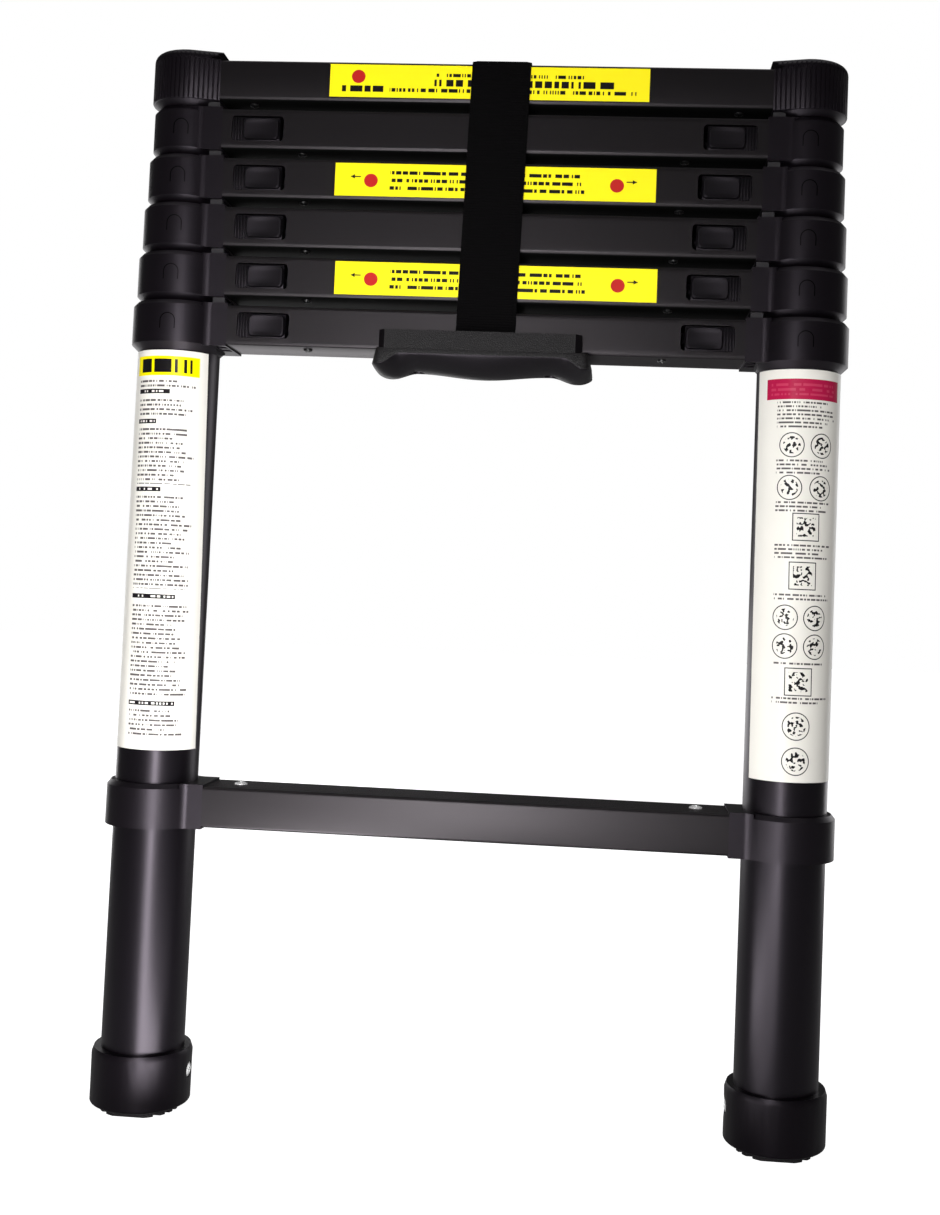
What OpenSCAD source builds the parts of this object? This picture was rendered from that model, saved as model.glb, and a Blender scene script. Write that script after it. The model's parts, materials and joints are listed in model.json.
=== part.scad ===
// Telescoping ladder, closed: five sliding sections nested in a base section, millimetres, +Z up.
// The floor is z = 0, the front is -Y, and the centre line between the stiles is x = 0.

/* [Stiles] */
// Distance from the centre line to the axis of each stile
stile_x = 196; // [180:1:260]
// Outer diameter of the bottom tubes
bottom_tube_d = 51; // [46:0.5:62]
// Wall of every tube
tube_wall = 1.3; // [1:0.1:1.5]
// Radial clearance between one tube and the next
tube_gap = 0.4; // [0.35:0.05:0.6]
// Length of tube that stays inside the next one when a section is fully out
tube_overlap = 70; // [40:1:90]

/* [Rungs] */
// Distance between neighbouring rungs when the ladder is open
rung_spacing = 300; // [240:1:360]
// Height of the bottom rung's middle above the floor
bottom_rung_z = 189; // [140:0.5:240]
// Height of each rung
rung_h = 25; // [21:0.5:32]
// Depth of each rung, front to back
rung_d = 40; // [34:0.5:48]
// Wall of each rung
rung_wall = 1.5; // [1.2:0.1:2]
// Radius of the rungs' long edges
rung_edge_r = 2; // [1.6:0.1:3]

/* [Collars] */
// Wall of a collar's ring, outside its tube
ring_wall = 4.4; // [4:0.1:6]
// How far a collar's neck stands over and under its rung
neck_over = 1.1; // [0.4:0.1:2]
// Space between the necks of two stacked collars
stack_space = 4; // [3:0.1:6]
// Length of the neck past the ring, on the base section
neck_reach = 5.1; // [4.8:0.1:8]
// How much shorter the neck is on each section further up
neck_reach_step = 0.7; // [0:0.1:0.7]
// Radius that blends a ring into its neck
neck_fillet_r = 8; // [4:0.5:10]

/* [Latches] */
// Length of the window in the rung for a thumb latch
window_len = 33; // [27:0.5:40]
// Height of that window
window_h = 16; // [13:0.5:19.5]
// Distance from the rung's end to the window
window_start = 6.5; // [6:0.5:8]
// Travel of a thumb latch towards the middle of the rung
latch_travel = 2.5; // [2:0.1:3.5]
// Diameter of a lock pin
pin_d = 6; // [5:0.1:7.5]

/* [Feet] */
// Height of a foot, from the floor to its rim
foot_h = 38; // [32:0.5:48]
// Wall of a foot at its rim, outside the tube
foot_wall = 5.3; // [4.5:0.1:7]
// Height of the rubber tread under a foot
tread_h = 4.3; // [3:0.1:6]

/* [Handle and strap] */
// Width of the handle's front plate
handle_w = 124; // [104:1:150]
// How far the handle's grip hangs below its rung
grip_drop = 16.5; // [13:0.5:20]
// Width of the strap
strap_w = 37; // [30:1:50]
// Thickness of the strap
strap_t = 2; // [1.5:0.1:2.4]

/* [Labels] */
// Width of the band on a rung
band_w = 200; // [160:1:240]
// Width of the label round a bottom tube, along its surface
label_w = 68; // [40:1:70]
// Distance from the label's lower edge to the bottom rung's middle
label_start = 34; // [25:0.5:60]

/* [Hidden] */
$fn = 48;
top_section = 1;
base_section = 6;
bottom_rung = 7;
sections = [2, 3, 4, 5];
sides = ["left", "right"];
fit = 0.05;
run_gap = 0.3;
eps = 0.01;

neck_h = rung_h + 2 * neck_over;
stack_pitch = neck_h + stack_space;
base_rung_z = bottom_rung_z + rung_spacing;
stack_gap = 0.2;
lip_gap = 0.4;
tube_top = 11;
ring_top_chamfer = [2.4, 2.8];
lip_in = 4.4;
lip_edge = 0.6;
bottom_ring_extra = 0.5;
fillet_sink = 0.05;
lip_h = stack_space - lip_gap;
arch_r = 4.8;
arch_drop = 5.2;
arch_line = 0.9;
arch_depth = 0.6;

spacer_w = 7.5;
spacer_d = 6;
spacer_back = 0.8;
spacer_inset = 0.5;
pocket = [6.5, 8, 4];
pocket_rim = 3;

insert_gap = 0.1;
cavity_reach = 2;
cavity_h = window_h + 2 * run_gap;
cavity_y = 9;
carriage_start = 3;
carriage_y = 6;
spring_len = 9;
spring_d = 9;
spring_wire = 1.1;
spring_turns = 4;
spring_sides = 6;
spring_steps = 12;
carriage_end = window_start + window_len - latch_travel - run_gap;
pad_start = window_start + 9;
pad_proud = 0.7;
dish_r = 40;
dish_depth = 0.8;
groove_w = 1.1;
groove_depth = 0.8;
pin_depth = 16;

insert_end_wall = 4.3;
insert_screw_x = carriage_end + spring_len + insert_end_wall;
insert_tail = 7;
insert_len = insert_screw_x + insert_tail;
insert_screw_y = -9;
screw_d = 3;
screw_head_d = 5.6;
screw_head_h = 1.8;
screw_len = 9;
rung_head_d = 8;
big_screw_d = 4;
big_head_d = 9;
big_head_h = 2.2;

cap_over = 6;
cap_extra = 3.4;
cap_r = tube_d(top_section) / 2 + ring_wall + cap_extra;
cap_round = 5;
cap_slope = 4.7;
cap_insert = 30;
cap_screw_x = 20;
flute_d = 2;
flute_step = 7.5;
flute_sink = 0.45;
flute_span = 100;

glide_h = 8;
glide_spigot = 10;
glide_wall = 1.6;

foot_taper = 0.9;
foot_floor = 3;
foot_edge = 4;
foot_rim = [1.2, 3.6];
tread_in = 6.3;
tread_seat = 2;
tread_rib = 3;
tread_groove = 1.8;
foot_screw_z = 21;
foot_screw_len = 9;

plate_t = 4;
pocket_t = 3.2;
plate_rise = 11.4;
handle_lobe = 5;
handle_dip = 3;
handle_screw_x = 41;
handle_screw_well = 9;
handle_screw_floor = 5;
handle_steps = 24;
rung_screw_x = 19;

strap_gap = 0.35;
strap_tail = 9;
strap_x = 3;
strap_side = 6;

label_t = 0.25;
label_gap = 0.05;
label_top_gap = 0.8;
label_turn = [8.5, 2.5];
band_shift = [-3, 0, 3, 0, 6];
band_margin = 0.5;
band_h = rung_h - 2 * (rung_edge_r + band_margin);

// Sizes and places that follow from the section's number, 1 at the top and 6 in the base.
function tube_d(k) = bottom_tube_d - (base_section - min(k, base_section)) * 2 * (tube_wall + tube_gap);
function bore_d(k) = tube_d(k) - 2 * tube_wall;
function ring_r(k) = k == top_section ? cap_r : tube_d(k) / 2 + ring_wall;
function neck_end(k) = tube_d(k) / 2 + ring_wall + neck_reach
    - (base_section - min(k, base_section)) * neck_reach_step;
function rung_half(k) = stile_x - neck_end(k);
function rung_z(k) = k == bottom_rung ? bottom_rung_z : base_rung_z + (base_section - k) * stack_pitch;
function tube_foot_z(k) = rung_z(k) - rung_spacing - tube_overlap;

// Places a left-hand shape at a stile, with +X towards the middle of the ladder.
module at_left(z) { translate([-stile_x, 0, z]) children(); }
module on_side(side) { mirror([side == "right" ? 1 : 0, 0, 0]) children(); }
module on_both() { for (side = sides) on_side(side) children(); }

module round_rect(w, h, r) {
    square([w - 2 * r, h], center = true);
    square([w, h - 2 * r], center = true);
    for (x = [-1, 1], y = [-1, 1]) translate([x * (w / 2 - r), y * (h / 2 - r)]) circle(r);
}

module along_x(len) { rotate([0, 90, 0]) linear_extrude(len) children(); }

module pipe(d, inner_d, z0, z1) {
    translate([0, 0, z0]) difference() {
        cylinder(d = d, h = z1 - z0);
        translate([0, 0, -1]) cylinder(d = inner_d, h = z1 - z0 + 2);
    }
}

// A screw with its head's underside at the origin and its shank along -Z.
module screw(d, head_d, head_h, len) {
    slot_w = head_d / 6;
    slot_l = head_d * 0.6;
    difference() {
        union() {
            intersection() {
                cylinder(d = head_d, h = head_h);
                translate([0, 0, head_h - head_d]) sphere(head_d);
            }
            translate([0, 0, -len]) cylinder(d = d, h = len + eps);
        }
        for (a = [0, 90]) rotate([0, 0, a])
            translate([-slot_l / 2, -slot_w / 2, head_h * 0.35]) cube([slot_l, slot_w, head_h]);
    }
}

// Tubes
module section_tubes(k) {
    color("#2a282a") on_both() at_left(0) difference() {
        pipe(tube_d(k), bore_d(k), tube_foot_z(k), rung_z(k) + tube_top);
        if (k > top_section) pin_hole(rung_z(k), pin_d / 2 + run_gap);
        pin_hole(rung_z(k) - rung_spacing, pin_d / 2 + run_gap);
    }
}

module pin_hole(z, r) { translate([0, 0, z]) rotate([0, 90, 0]) cylinder(r = r, h = bottom_tube_d); }

module bottom_tubes() {
    color("#2a282a") on_both() at_left(0) difference() {
        pipe(tube_d(base_section), bore_d(base_section), tread_h + foot_floor, base_rung_z + tube_top);
        pin_hole(base_rung_z, pin_d / 2 + run_gap);
        pin_hole(foot_screw_z, big_screw_d / 2 + fit);
    }
}

// The bush on the lower end of a sliding tube, which runs inside the next tube.
module glides(k) {
    spigot_d = bore_d(k) - 2 * fit;
    color("#8a8c8e") on_both() at_left(tube_foot_z(k)) difference() {
        union() {
            translate([0, 0, -glide_h]) cylinder(d = bore_d(k + 1) - 4 * fit, h = glide_h);
            cylinder(d = spigot_d, h = glide_spigot);
        }
        translate([0, 0, -glide_h - 1])
            cylinder(d = spigot_d - 2 * glide_wall, h = glide_h + glide_spigot + 2);
    }
}

// Rungs
module rung_profile() {
    difference() {
        round_rect(rung_h, rung_d, rung_edge_r);
        round_rect(rung_h - 2 * rung_wall, rung_d - 2 * rung_wall, rung_edge_r - rung_wall + fit);
    }
}

module rung(k, windows = true) {
    half = rung_half(k);
    color("#2b292a") difference() {
        translate([-half, 0, rung_z(k)]) along_x(2 * half) rung_profile();
        if (windows) on_both() at_left(rung_z(k))
            translate([neck_end(k) + window_start, -rung_d / 2 - 1, -window_h / 2])
                cube([window_len, rung_wall + 2, window_h]);
        on_both() at_left(rung_z(k)) translate([neck_end(k), 0, -rung_h / 2]) {
            if (windows) translate([insert_screw_x, insert_screw_y, -1])
                cylinder(r = screw_d / 2 + fit, h = rung_wall + 2);
            if (k == top_section) translate([cap_screw_x, insert_screw_y, -1])
                cylinder(r = screw_d / 2 + fit, h = rung_wall + 2);
        }
        if (k == bottom_rung) on_both() at_left(rung_z(k))
            translate([neck_end(k) + rung_screw_x, 0, rung_h / 2 - rung_wall - 1])
                cylinder(r = screw_d / 2 + fit, h = rung_wall + 2);
        if (k == base_section) for (x = [-1, 1])
            translate([x * handle_screw_x, 0, rung_z(k) - rung_h / 2 - 1])
                cylinder(r = screw_d / 2 + fit, h = rung_wall + 2);
    }
}

// Collars: a ring round the tube, a neck that meets the rung, and an insert inside the rung.
module ring_blank(r, lip = true) {
    top = neck_h / 2;
    in = ring_top_chamfer[0];
    down = ring_top_chamfer[1];
    low = lip ? -top - lip_h : -top;
    foot = lip ? [[r - lip_in, low], [r, -top + lip_edge]] : [[r, low]];
    rotate_extrude() polygon(concat([[0, low]], foot, [[r, top - down], [r - in, top], [0, top]]));
}

module neck_fillet(r) {
    half = rung_d / 2;
    apart = r + neck_fillet_r - fillet_sink;
    x = sqrt(max(0, pow(apart, 2) - pow(half + neck_fillet_r, 2)));
    near = r / apart;
    if (r > half + 1) for (s = [-1, 1]) difference() {
        translate([0, 0, -neck_h / 2]) linear_extrude(neck_h) polygon([
            [x * near * 0.9, s * (half - 1)],
            [x * near, s * (half + neck_fillet_r) * near],
            [x, s * (half + neck_fillet_r) * near],
            [x, s * (half - 1)]
        ]);
        translate([x, s * (half + neck_fillet_r), -neck_h / 2 - 1])
            cylinder(r = neck_fillet_r, h = neck_h + 2);
    }
}

module arch_groove(r) {
    translate([0, -r + arch_depth, 0]) rotate([90, 0, 0]) linear_extrude(2) difference() {
        union() {
            circle(arch_r + arch_line / 2);
            translate([-arch_r - arch_line / 2, -arch_drop]) square([2 * arch_r + arch_line, arch_drop]);
        }
        circle(arch_r - arch_line / 2);
        translate([-arch_r + arch_line / 2, -arch_drop - 1]) square([2 * arch_r - arch_line, arch_drop + 1]);
    }
}

module insert_block(k, len) {
    w = rung_d - 2 * rung_wall - 2 * insert_gap;
    h = rung_h - 2 * rung_wall - 2 * insert_gap;
    translate([neck_end(k) - 1, 0, 0]) along_x(len + 1) round_rect(h, w, rung_edge_r - rung_wall + fit);
}

// Blocks on top of a collar that carry the neck above when the ladder is closed.
module spacers(k) {
    x = neck_end(k - 1) - spacer_w - spacer_inset;
    y = rung_d / 2 - spacer_back - spacer_d;
    h = stack_space - stack_gap;
    for (s = [0, 1]) mirror([0, s, 0]) translate([x, y, neck_h / 2 - 1]) cube([spacer_w, spacer_d, h + 1]);
}

module lip_cut(k) {
    translate([neck_end(k) - spacer_w - spacer_inset - 2 * run_gap, -rung_d, -neck_h / 2 - lip_h - 1])
        cube([rung_d, 2 * rung_d, lip_h + 1]);
}

module collar_body(k) {
    difference() {
        ring_blank(ring_r(k));
        if (k < bottom_rung) lip_cut(k);
    }
    translate([0, -rung_d / 2, -neck_h / 2]) cube([neck_end(k), rung_d, neck_h]);
    neck_fillet(ring_r(k));
}

module latch_cavity(k) {
    translate([neck_end(k) - cavity_reach, -rung_d / 2 + rung_wall + insert_gap - 1, -cavity_h / 2])
        cube([cavity_reach + carriage_end + spring_len, rung_d / 2 - rung_wall - insert_gap + 1 + cavity_y,
            cavity_h]);
}

module collars(k) {
    color("#1c1a1d") on_both() at_left(rung_z(k)) difference() {
        union() {
            collar_body(k);
            insert_block(k, insert_len);
            if (k > top_section) spacers(k);
        }
        translate([0, 0, -neck_h]) cylinder(d = tube_d(k) + 2 * fit, h = neck_h + tube_top);
        translate([0, 0, -neck_h]) cylinder(d = tube_d(k - 1) + 2 * fit + 2 * run_gap, h = 3 * neck_h);
        rotate([0, 90, 0]) cylinder(d = pin_d + 2 * fit, h = neck_end(k));
        intersection() {
            latch_cavity(k);
            translate([neck_end(k) - cavity_reach, -rung_d / 2 + rung_wall, -cavity_h])
                cube([insert_len, rung_d, 2 * cavity_h]);
        }
        translate([neck_end(k) + insert_screw_x, insert_screw_y, -rung_h])
            cylinder(r = screw_d / 2 + fit, h = rung_h);
        for (i = [0, 1]) translate([neck_end(k) - pocket[0] - 1, 0, -neck_h / 2 - 1])
            translate([0, pocket_rim - rung_d / 2 + i * (pocket[1] + pocket_rim), 0]) cube(pocket);
        arch_groove(ring_r(k));
    }
}

module collars_7() {
    color("#1c1a1d") on_both() at_left(bottom_rung_z) difference() {
        union() {
            ring_blank(ring_r(bottom_rung) + bottom_ring_extra, lip = false);
            translate([0, -rung_d / 2, -neck_h / 2]) cube([neck_end(bottom_rung), rung_d, neck_h]);
            neck_fillet(ring_r(bottom_rung) + bottom_ring_extra);
            insert_block(bottom_rung, cap_insert);
        }
        translate([0, 0, -neck_h]) cylinder(d = tube_d(base_section) + 2 * fit, h = 2 * neck_h);
        translate([neck_end(bottom_rung) + rung_screw_x, 0, 0]) cylinder(r = screw_d / 2 + fit, h = rung_h);
    }
}

// Top caps: they close the top tubes and hold the top rung.
module flutes(r) {
    for (a = [-flute_span:flute_step:flute_span]) rotate([0, 0, a + 180])
        translate([r - flute_sink + flute_d / 2, 0, -neck_h / 2 + lip_edge])
            cylinder(d = flute_d, h = neck_h + cap_over - cap_round, $fn = 16);
}

module cap_blank(r) {
    top = rung_h / 2 + cap_over;
    low = -neck_h / 2 - lip_h;
    rotate_extrude() {
        polygon([
            [0, low], [r - lip_in, low], [r, -neck_h / 2 + lip_edge],
            [r, top - cap_round], [0, top - cap_round]
        ]);
        translate([0, top - cap_round]) square([r - cap_round, cap_round]);
        intersection() {
            translate([r - cap_round, top - cap_round]) circle(cap_round);
            translate([0, top - cap_round - 1]) square([r, cap_round + 1]);
        }
    }
}

// The cap's sides run straight from its round end to the end of its neck.
module cap_flanks(end, inset) {
    near = cap_r - inset;
    far = rung_d / 2 - inset;
    polygon([[0, -near], [end, -far], [end, far], [0, near]]);
}

module top_caps() {
    top = rung_h / 2 + cap_over;
    end = neck_end(top_section);
    color("#1a181b") on_both() at_left(rung_z(top_section)) difference() {
        union() {
            difference() {
                cap_blank(cap_r);
                lip_cut(top_section);
                translate([end, -cap_r, -neck_h]) cube([cap_r, 2 * cap_r, 2 * neck_h]);
                flutes(cap_r);
            }
            translate([0, 0, -neck_h / 2]) linear_extrude(neck_h / 2 + top - cap_round) cap_flanks(end, 0);
            translate([0, 0, top - cap_round - eps]) linear_extrude(cap_round + eps)
                cap_flanks(end, cap_round / 2);
            translate([end - eps, rung_d / 2 - cap_round / 2, 0]) rotate([90, 0, 0])
                linear_extrude(rung_d - cap_round)
                    polygon([[0, rung_h / 2 + fit], [cap_slope, rung_h / 2 + fit], [0, top]]);
            insert_block(top_section, cap_insert);
        }
        translate([0, 0, -neck_h]) cylinder(d = tube_d(top_section) + 2 * fit, h = neck_h + tube_top);
        translate([end + cap_screw_x, insert_screw_y, -rung_h]) cylinder(r = screw_d / 2 + fit, h = rung_h);
    }
}

// Thumb latches: a carriage with a raised pad, and the lock pin pressed into it.
module latch(k, side) {
    front = -rung_d / 2;
    skin = front + rung_wall + run_gap;
    len = carriage_end - carriage_start;
    pin_start = tube_d(k - 1) / 2 + run_gap;
    color("#1f1d20") on_side(side) at_left(rung_z(k)) {
        translate([neck_end(k), 0, 0]) difference() {
            union() {
                translate([carriage_start, skin, -window_h / 2 + run_gap])
                    cube([len, carriage_y - skin, window_h - 2 * run_gap]);
                translate([pad_start, front - pad_proud, -window_h / 2 + run_gap])
                    cube([carriage_end - pad_start, skin - front + pad_proud + 1, window_h - 2 * run_gap]);
            }
            translate([carriage_start - 1, 0, 0]) rotate([0, 90, 0])
                cylinder(d = pin_d + fit, h = pin_depth + 1 + fit);
            for (i = [0:2]) translate([window_start + groove_w * (0.7 + 2.2 * i), skin - 1, -window_h])
                cube([groove_w, 1 + groove_depth, 2 * window_h]);
            translate([(pad_start + carriage_end) / 2, front - pad_proud + dish_depth - dish_r, 0])
                cylinder(r = dish_r, h = 2 * window_h, center = true, $fn = 96);
        }
    }
    color("#b9bbbd") on_side(side) at_left(rung_z(k)) translate([pin_start, 0, 0]) rotate([0, 90, 0])
        cylinder(d = pin_d, h = neck_end(k) + carriage_start + pin_depth - pin_start);
}

// Coil spring between the carriage and the end of its cavity, swept along X.
function spring_point(t, a) =
    let (turn = 360 * spring_turns * t, r = (spring_d - spring_wire) / 2 + spring_wire / 2 * cos(a))
    [spring_wire / 2 + fit + t * (spring_len - spring_wire - 2 * fit) + spring_wire / 2 * sin(a),
        r * cos(turn), r * sin(turn)];

module coil_spring() {
    n = spring_turns * spring_steps;
    m = spring_sides;
    pts = [for (i = [0:n], j = [0:m - 1]) spring_point(i / n, j * 360 / m)];
    walls = [for (i = [0:n - 1], j = [0:m - 1])
        [i * m + j, (i + 1) * m + j, (i + 1) * m + (j + 1) % m, i * m + (j + 1) % m]];
    ends = [[for (j = [0:m - 1]) j], [for (j = [m - 1:-1:0]) n * m + j]];
    polyhedron(pts, concat(walls, ends));
}

module latch_spring(k, side) {
    color("#a9abad") on_side(side) at_left(rung_z(k))
        translate([neck_end(k) + carriage_end, (cavity_y - rung_d / 2 + rung_wall) / 2, 0]) coil_spring();
}

// Feet
module feet() {
    r = tube_d(base_section) / 2 + foot_wall;
    low_r = r - foot_taper;
    color("#1a191b") on_both() at_left(0) difference() {
        rotate_extrude() {
            polygon([
                [0, tread_h], [low_r - foot_edge, tread_h], [low_r, tread_h + foot_edge],
                [r, foot_h - foot_rim[1]], [r - foot_rim[0], foot_h], [0, foot_h]
            ]);
            intersection() {
                translate([low_r - foot_edge, tread_h + foot_edge]) circle(foot_edge);
                translate([0, tread_h]) square([low_r, foot_edge]);
            }
        }
        translate([0, 0, tread_h + foot_floor]) cylinder(d = tube_d(base_section) + 2 * fit, h = foot_h);
        translate([0, 0, tread_h - 1]) cylinder(r = r - tread_in + fit, h = tread_seat + 1);
        translate([0, 0, foot_screw_z]) rotate([0, 90, 0]) {
            cylinder(r = big_screw_d / 2 + fit, h = r + 1);
            translate([0, 0, r - big_head_h]) cylinder(d = big_head_d + 1, h = big_head_h + 1);
        }
    }
}

module foot_treads() {
    r = tube_d(base_section) / 2 + foot_wall - tread_in;
    pitch = 2 * tread_rib;
    color("#242224") on_both() at_left(0) difference() {
        cylinder(r = r, h = tread_h + tread_seat - fit);
        for (y = [-4:4]) translate([-r - 1, y * pitch - tread_rib / 2, -1])
            cube([2 * r + 2, tread_rib, tread_groove + 1]);
    }
}

// Carry handle: a saddle round the base section's rung, with a front and a back plate.
function grip_low(x) = -rung_h / 2 - grip_drop + handle_dip * (0.5 - 0.5 * cos(360 * x / (handle_w / 2)));

module handle_outline(half, top) {
    polygon(concat(
        [for (i = [0:handle_steps]) let (x = -half + 2 * half * i / handle_steps) [x, grip_low(x)]],
        [[half, top], [-half, top]]
    ));
}

module carry_handle() {
    wide = handle_w / 2 + handle_lobe;
    inner = rung_d / 2 + pocket_t;
    outer = inner + plate_t;
    under = -rung_h / 2 - fit;
    color("#2f2d2f") translate([0, 0, base_rung_z]) difference() {
        union() {
            translate([0, outer, 0]) rotate([90, 0, 0]) linear_extrude(2 * outer)
                handle_outline(wide, under);
            for (s = [0, 1]) mirror([0, s, 0]) translate([-handle_w / 2, inner, under - 1])
                cube([handle_w, plate_t, plate_rise + 1]);
        }
        for (s = [0, 1]) mirror([0, s, 0]) translate([-strap_w / 2 - strap_side, rung_d / 2 + eps, under - 3])
            cube([strap_w + 2 * strap_side, pocket_t - eps, plate_rise]);
        for (x = [-1, 1]) translate([x * handle_screw_x, 0, -rung_h - grip_drop]) {
            cylinder(r = screw_d / 2 + fit, h = rung_h + grip_drop);
            cylinder(d = handle_screw_well, h = rung_h / 2 + grip_drop - handle_screw_floor);
        }
    }
}

// Strap: over the top rung, with both tails tucked behind the handle's plates.
module strap() {
    inner = rung_d / 2 + strap_gap;
    top = rung_z(top_section) + rung_h / 2 + strap_gap;
    low = base_rung_z - rung_h / 2 + strap_tail - plate_rise / 2;
    corner = rung_edge_r + strap_t;
    color("#0c0b0c") translate([strap_x - strap_w / 2, 0, 0]) rotate([90, 0, 90])
        linear_extrude(strap_w) difference() {
            arch_band(inner + strap_t, low, top + strap_t, corner);
            arch_band(inner, low - 1, top, rung_edge_r);
        }
}

module arch_band(half, low, top, r) {
    translate([-half, low]) square([2 * half, top - r - low]);
    translate([r - half, low]) square([2 * (half - r), top - low]);
    for (s = [-1, 1]) translate([s * (half - r), top - r]) circle(r);
}

// Labels: thin bands on three rungs and a wrapped sheet on each bottom tube.
module band(k) {
    color("#fff200") translate([-band_w / 2 + band_shift[k - 1], -rung_d / 2 - label_gap - label_t,
        rung_z(k) - band_h / 2]) cube([band_w, label_t, band_h]);
}

module tube_label(side, turn) {
    r = tube_d(base_section) / 2 + label_gap;
    half = label_w / 2 / (PI * tube_d(base_section)) * 360;
    reach = 2 * r;
    z0 = bottom_rung_z + label_start;
    z1 = base_rung_z - neck_h / 2 - lip_h - label_top_gap;
    on_side(side) at_left(0) rotate([0, 0, -turn]) intersection() {
        pipe(2 * (r + label_t), 2 * r, z0, z1);
        translate([0, 0, z0 - 1]) linear_extrude(z1 - z0 + 2) polygon([
            [0, 0], [-reach * sin(half), -reach * cos(half)], [-reach, -reach], [reach, -reach],
            [reach * sin(half), -reach * cos(half)]
        ]);
    }
}

module tube_labels() { color("#f4f1e6") for (i = [0, 1]) tube_label(sides[i], label_turn[i]); }

// Screws
module underside_screws(k, x) {
    on_both() at_left(rung_z(k)) translate([neck_end(k) + x, insert_screw_y, -rung_h / 2])
        rotate([180, 0, 0]) screw(screw_d, screw_head_d, screw_head_h, screw_len);
}

module section_screws(k) {
    color("#c3c5c7") underside_screws(k, k == top_section ? cap_screw_x : insert_screw_x);
}

module base_screws() {
    foot_r = tube_d(base_section) / 2 + foot_wall;
    color("#c3c5c7") {
        underside_screws(base_section, insert_screw_x);
        on_both() at_left(bottom_rung_z) translate([neck_end(bottom_rung) + rung_screw_x, 0, rung_h / 2])
            screw(screw_d, rung_head_d, screw_head_h, screw_len);
        on_both() at_left(foot_screw_z) translate([foot_r - big_head_h, 0, 0]) rotate([0, 90, 0])
            screw(big_screw_d, big_head_d, big_head_h, foot_screw_len);
        for (x = [-1, 1]) translate([x * handle_screw_x, 0, base_rung_z - rung_h / 2 - handle_screw_floor])
            rotate([180, 0, 0]) screw(screw_d, screw_head_d, screw_head_h, screw_len);
    }
}

bottom_tubes();
feet();
foot_treads();
collars_7();
rung(bottom_rung, windows = false);  // rung_7
collars(base_section);  // collars_6
rung(base_section);  // rung_6
carry_handle();
tube_labels();
base_screws();
for (k = sections) {
    section_tubes(k);
    collars(k);
    rung(k);
    glides(k);
    section_screws(k);
}
section_tubes(top_section);  // tubes_1
top_caps();
rung(top_section, windows = false);  // rung_1
glides(top_section);  // glides_1
section_screws(top_section);  // screws_1
for (k = [1, 3, 5]) band(k);
for (k = [2:base_section], side = sides) {
    latch(k, side);
    latch_spring(k, side);
}
strap();
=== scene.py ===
import json
import bpy
import bmesh
from math import acos, atan2, cos, hypot, pi, radians, sin, sqrt
from mathutils import Matrix, Vector

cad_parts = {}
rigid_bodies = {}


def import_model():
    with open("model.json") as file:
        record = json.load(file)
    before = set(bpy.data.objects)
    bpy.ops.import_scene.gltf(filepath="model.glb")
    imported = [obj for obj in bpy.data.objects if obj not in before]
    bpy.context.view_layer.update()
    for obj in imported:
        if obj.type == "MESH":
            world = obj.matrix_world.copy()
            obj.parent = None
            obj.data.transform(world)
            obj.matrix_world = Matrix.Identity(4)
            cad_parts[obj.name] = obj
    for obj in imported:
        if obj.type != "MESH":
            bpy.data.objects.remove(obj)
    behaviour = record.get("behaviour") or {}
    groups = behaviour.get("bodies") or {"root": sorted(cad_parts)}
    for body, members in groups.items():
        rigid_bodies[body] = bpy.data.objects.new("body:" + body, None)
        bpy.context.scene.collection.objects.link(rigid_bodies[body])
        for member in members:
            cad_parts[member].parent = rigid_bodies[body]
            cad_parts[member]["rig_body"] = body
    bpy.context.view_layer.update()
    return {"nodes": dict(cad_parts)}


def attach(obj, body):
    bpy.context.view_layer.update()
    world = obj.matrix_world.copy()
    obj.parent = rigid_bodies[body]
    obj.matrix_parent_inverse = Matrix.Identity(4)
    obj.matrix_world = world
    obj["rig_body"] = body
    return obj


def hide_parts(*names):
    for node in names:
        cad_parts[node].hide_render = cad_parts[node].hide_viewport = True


# A telescoping ladder, closed and strapped, standing on a pale floor. The shapes are worked
# out in millimetres and brought to metres when a piece is finished.
toMetres = 0.001
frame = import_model()
print("frame loaded")

ladder = {
    "stileX": 196.0, "bottomTube": 51.0, "tubeStep": 3.4, "ringWall": 4.4,
    "rungHeight": 25.0, "rungDepth": 40.0, "rungWall": 1.5, "runGap": 0.3,
    "bottomRung": 189.0, "baseRung": 489.0, "pitch": 31.2, "neckReach": 5.1, "neckStep": 0.7,
}
sides = ("left", "right")


def tubeSize(k):
    return ladder["bottomTube"] - (6 - min(k, 6)) * ladder["tubeStep"]


def neckEnd(k):
    return tubeSize(k) / 2 + ladder["ringWall"] + ladder["neckReach"] - (6 - min(k, 6)) * ladder["neckStep"]


def rungHeightAt(k):
    return ladder["bottomRung"] if k == 7 else ladder["baseRung"] + (6 - k) * ladder["pitch"]


def bodyOf(k):
    return "base" if k >= 6 else "section_%d" % k


# node helpers: each term is a value, or the socket that feeds the input
def addNode(tree, kind, terms=None, **settings):
    node = tree.nodes.new(kind)
    for key, value in settings.items():
        setattr(node, key, value)
    for key, term in (terms or {}).items():
        if isinstance(term, bpy.types.NodeSocket):
            tree.links.new(term, node.inputs[key])
        else:
            node.inputs[key].default_value = term
    return node


def addMath(tree, operation, *terms):
    return addNode(tree, "ShaderNodeMath", dict(enumerate(terms)), operation=operation).outputs[0]


def addVector(tree, operation, *terms, output="Vector"):
    return addNode(tree, "ShaderNodeVectorMath", dict(enumerate(terms)), operation=operation).outputs[output]


def addMix(tree, factor, first, second):
    return addNode(tree, "ShaderNodeMix", {0: factor, 6: first, 7: second}, data_type="RGBA").outputs[2]


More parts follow.
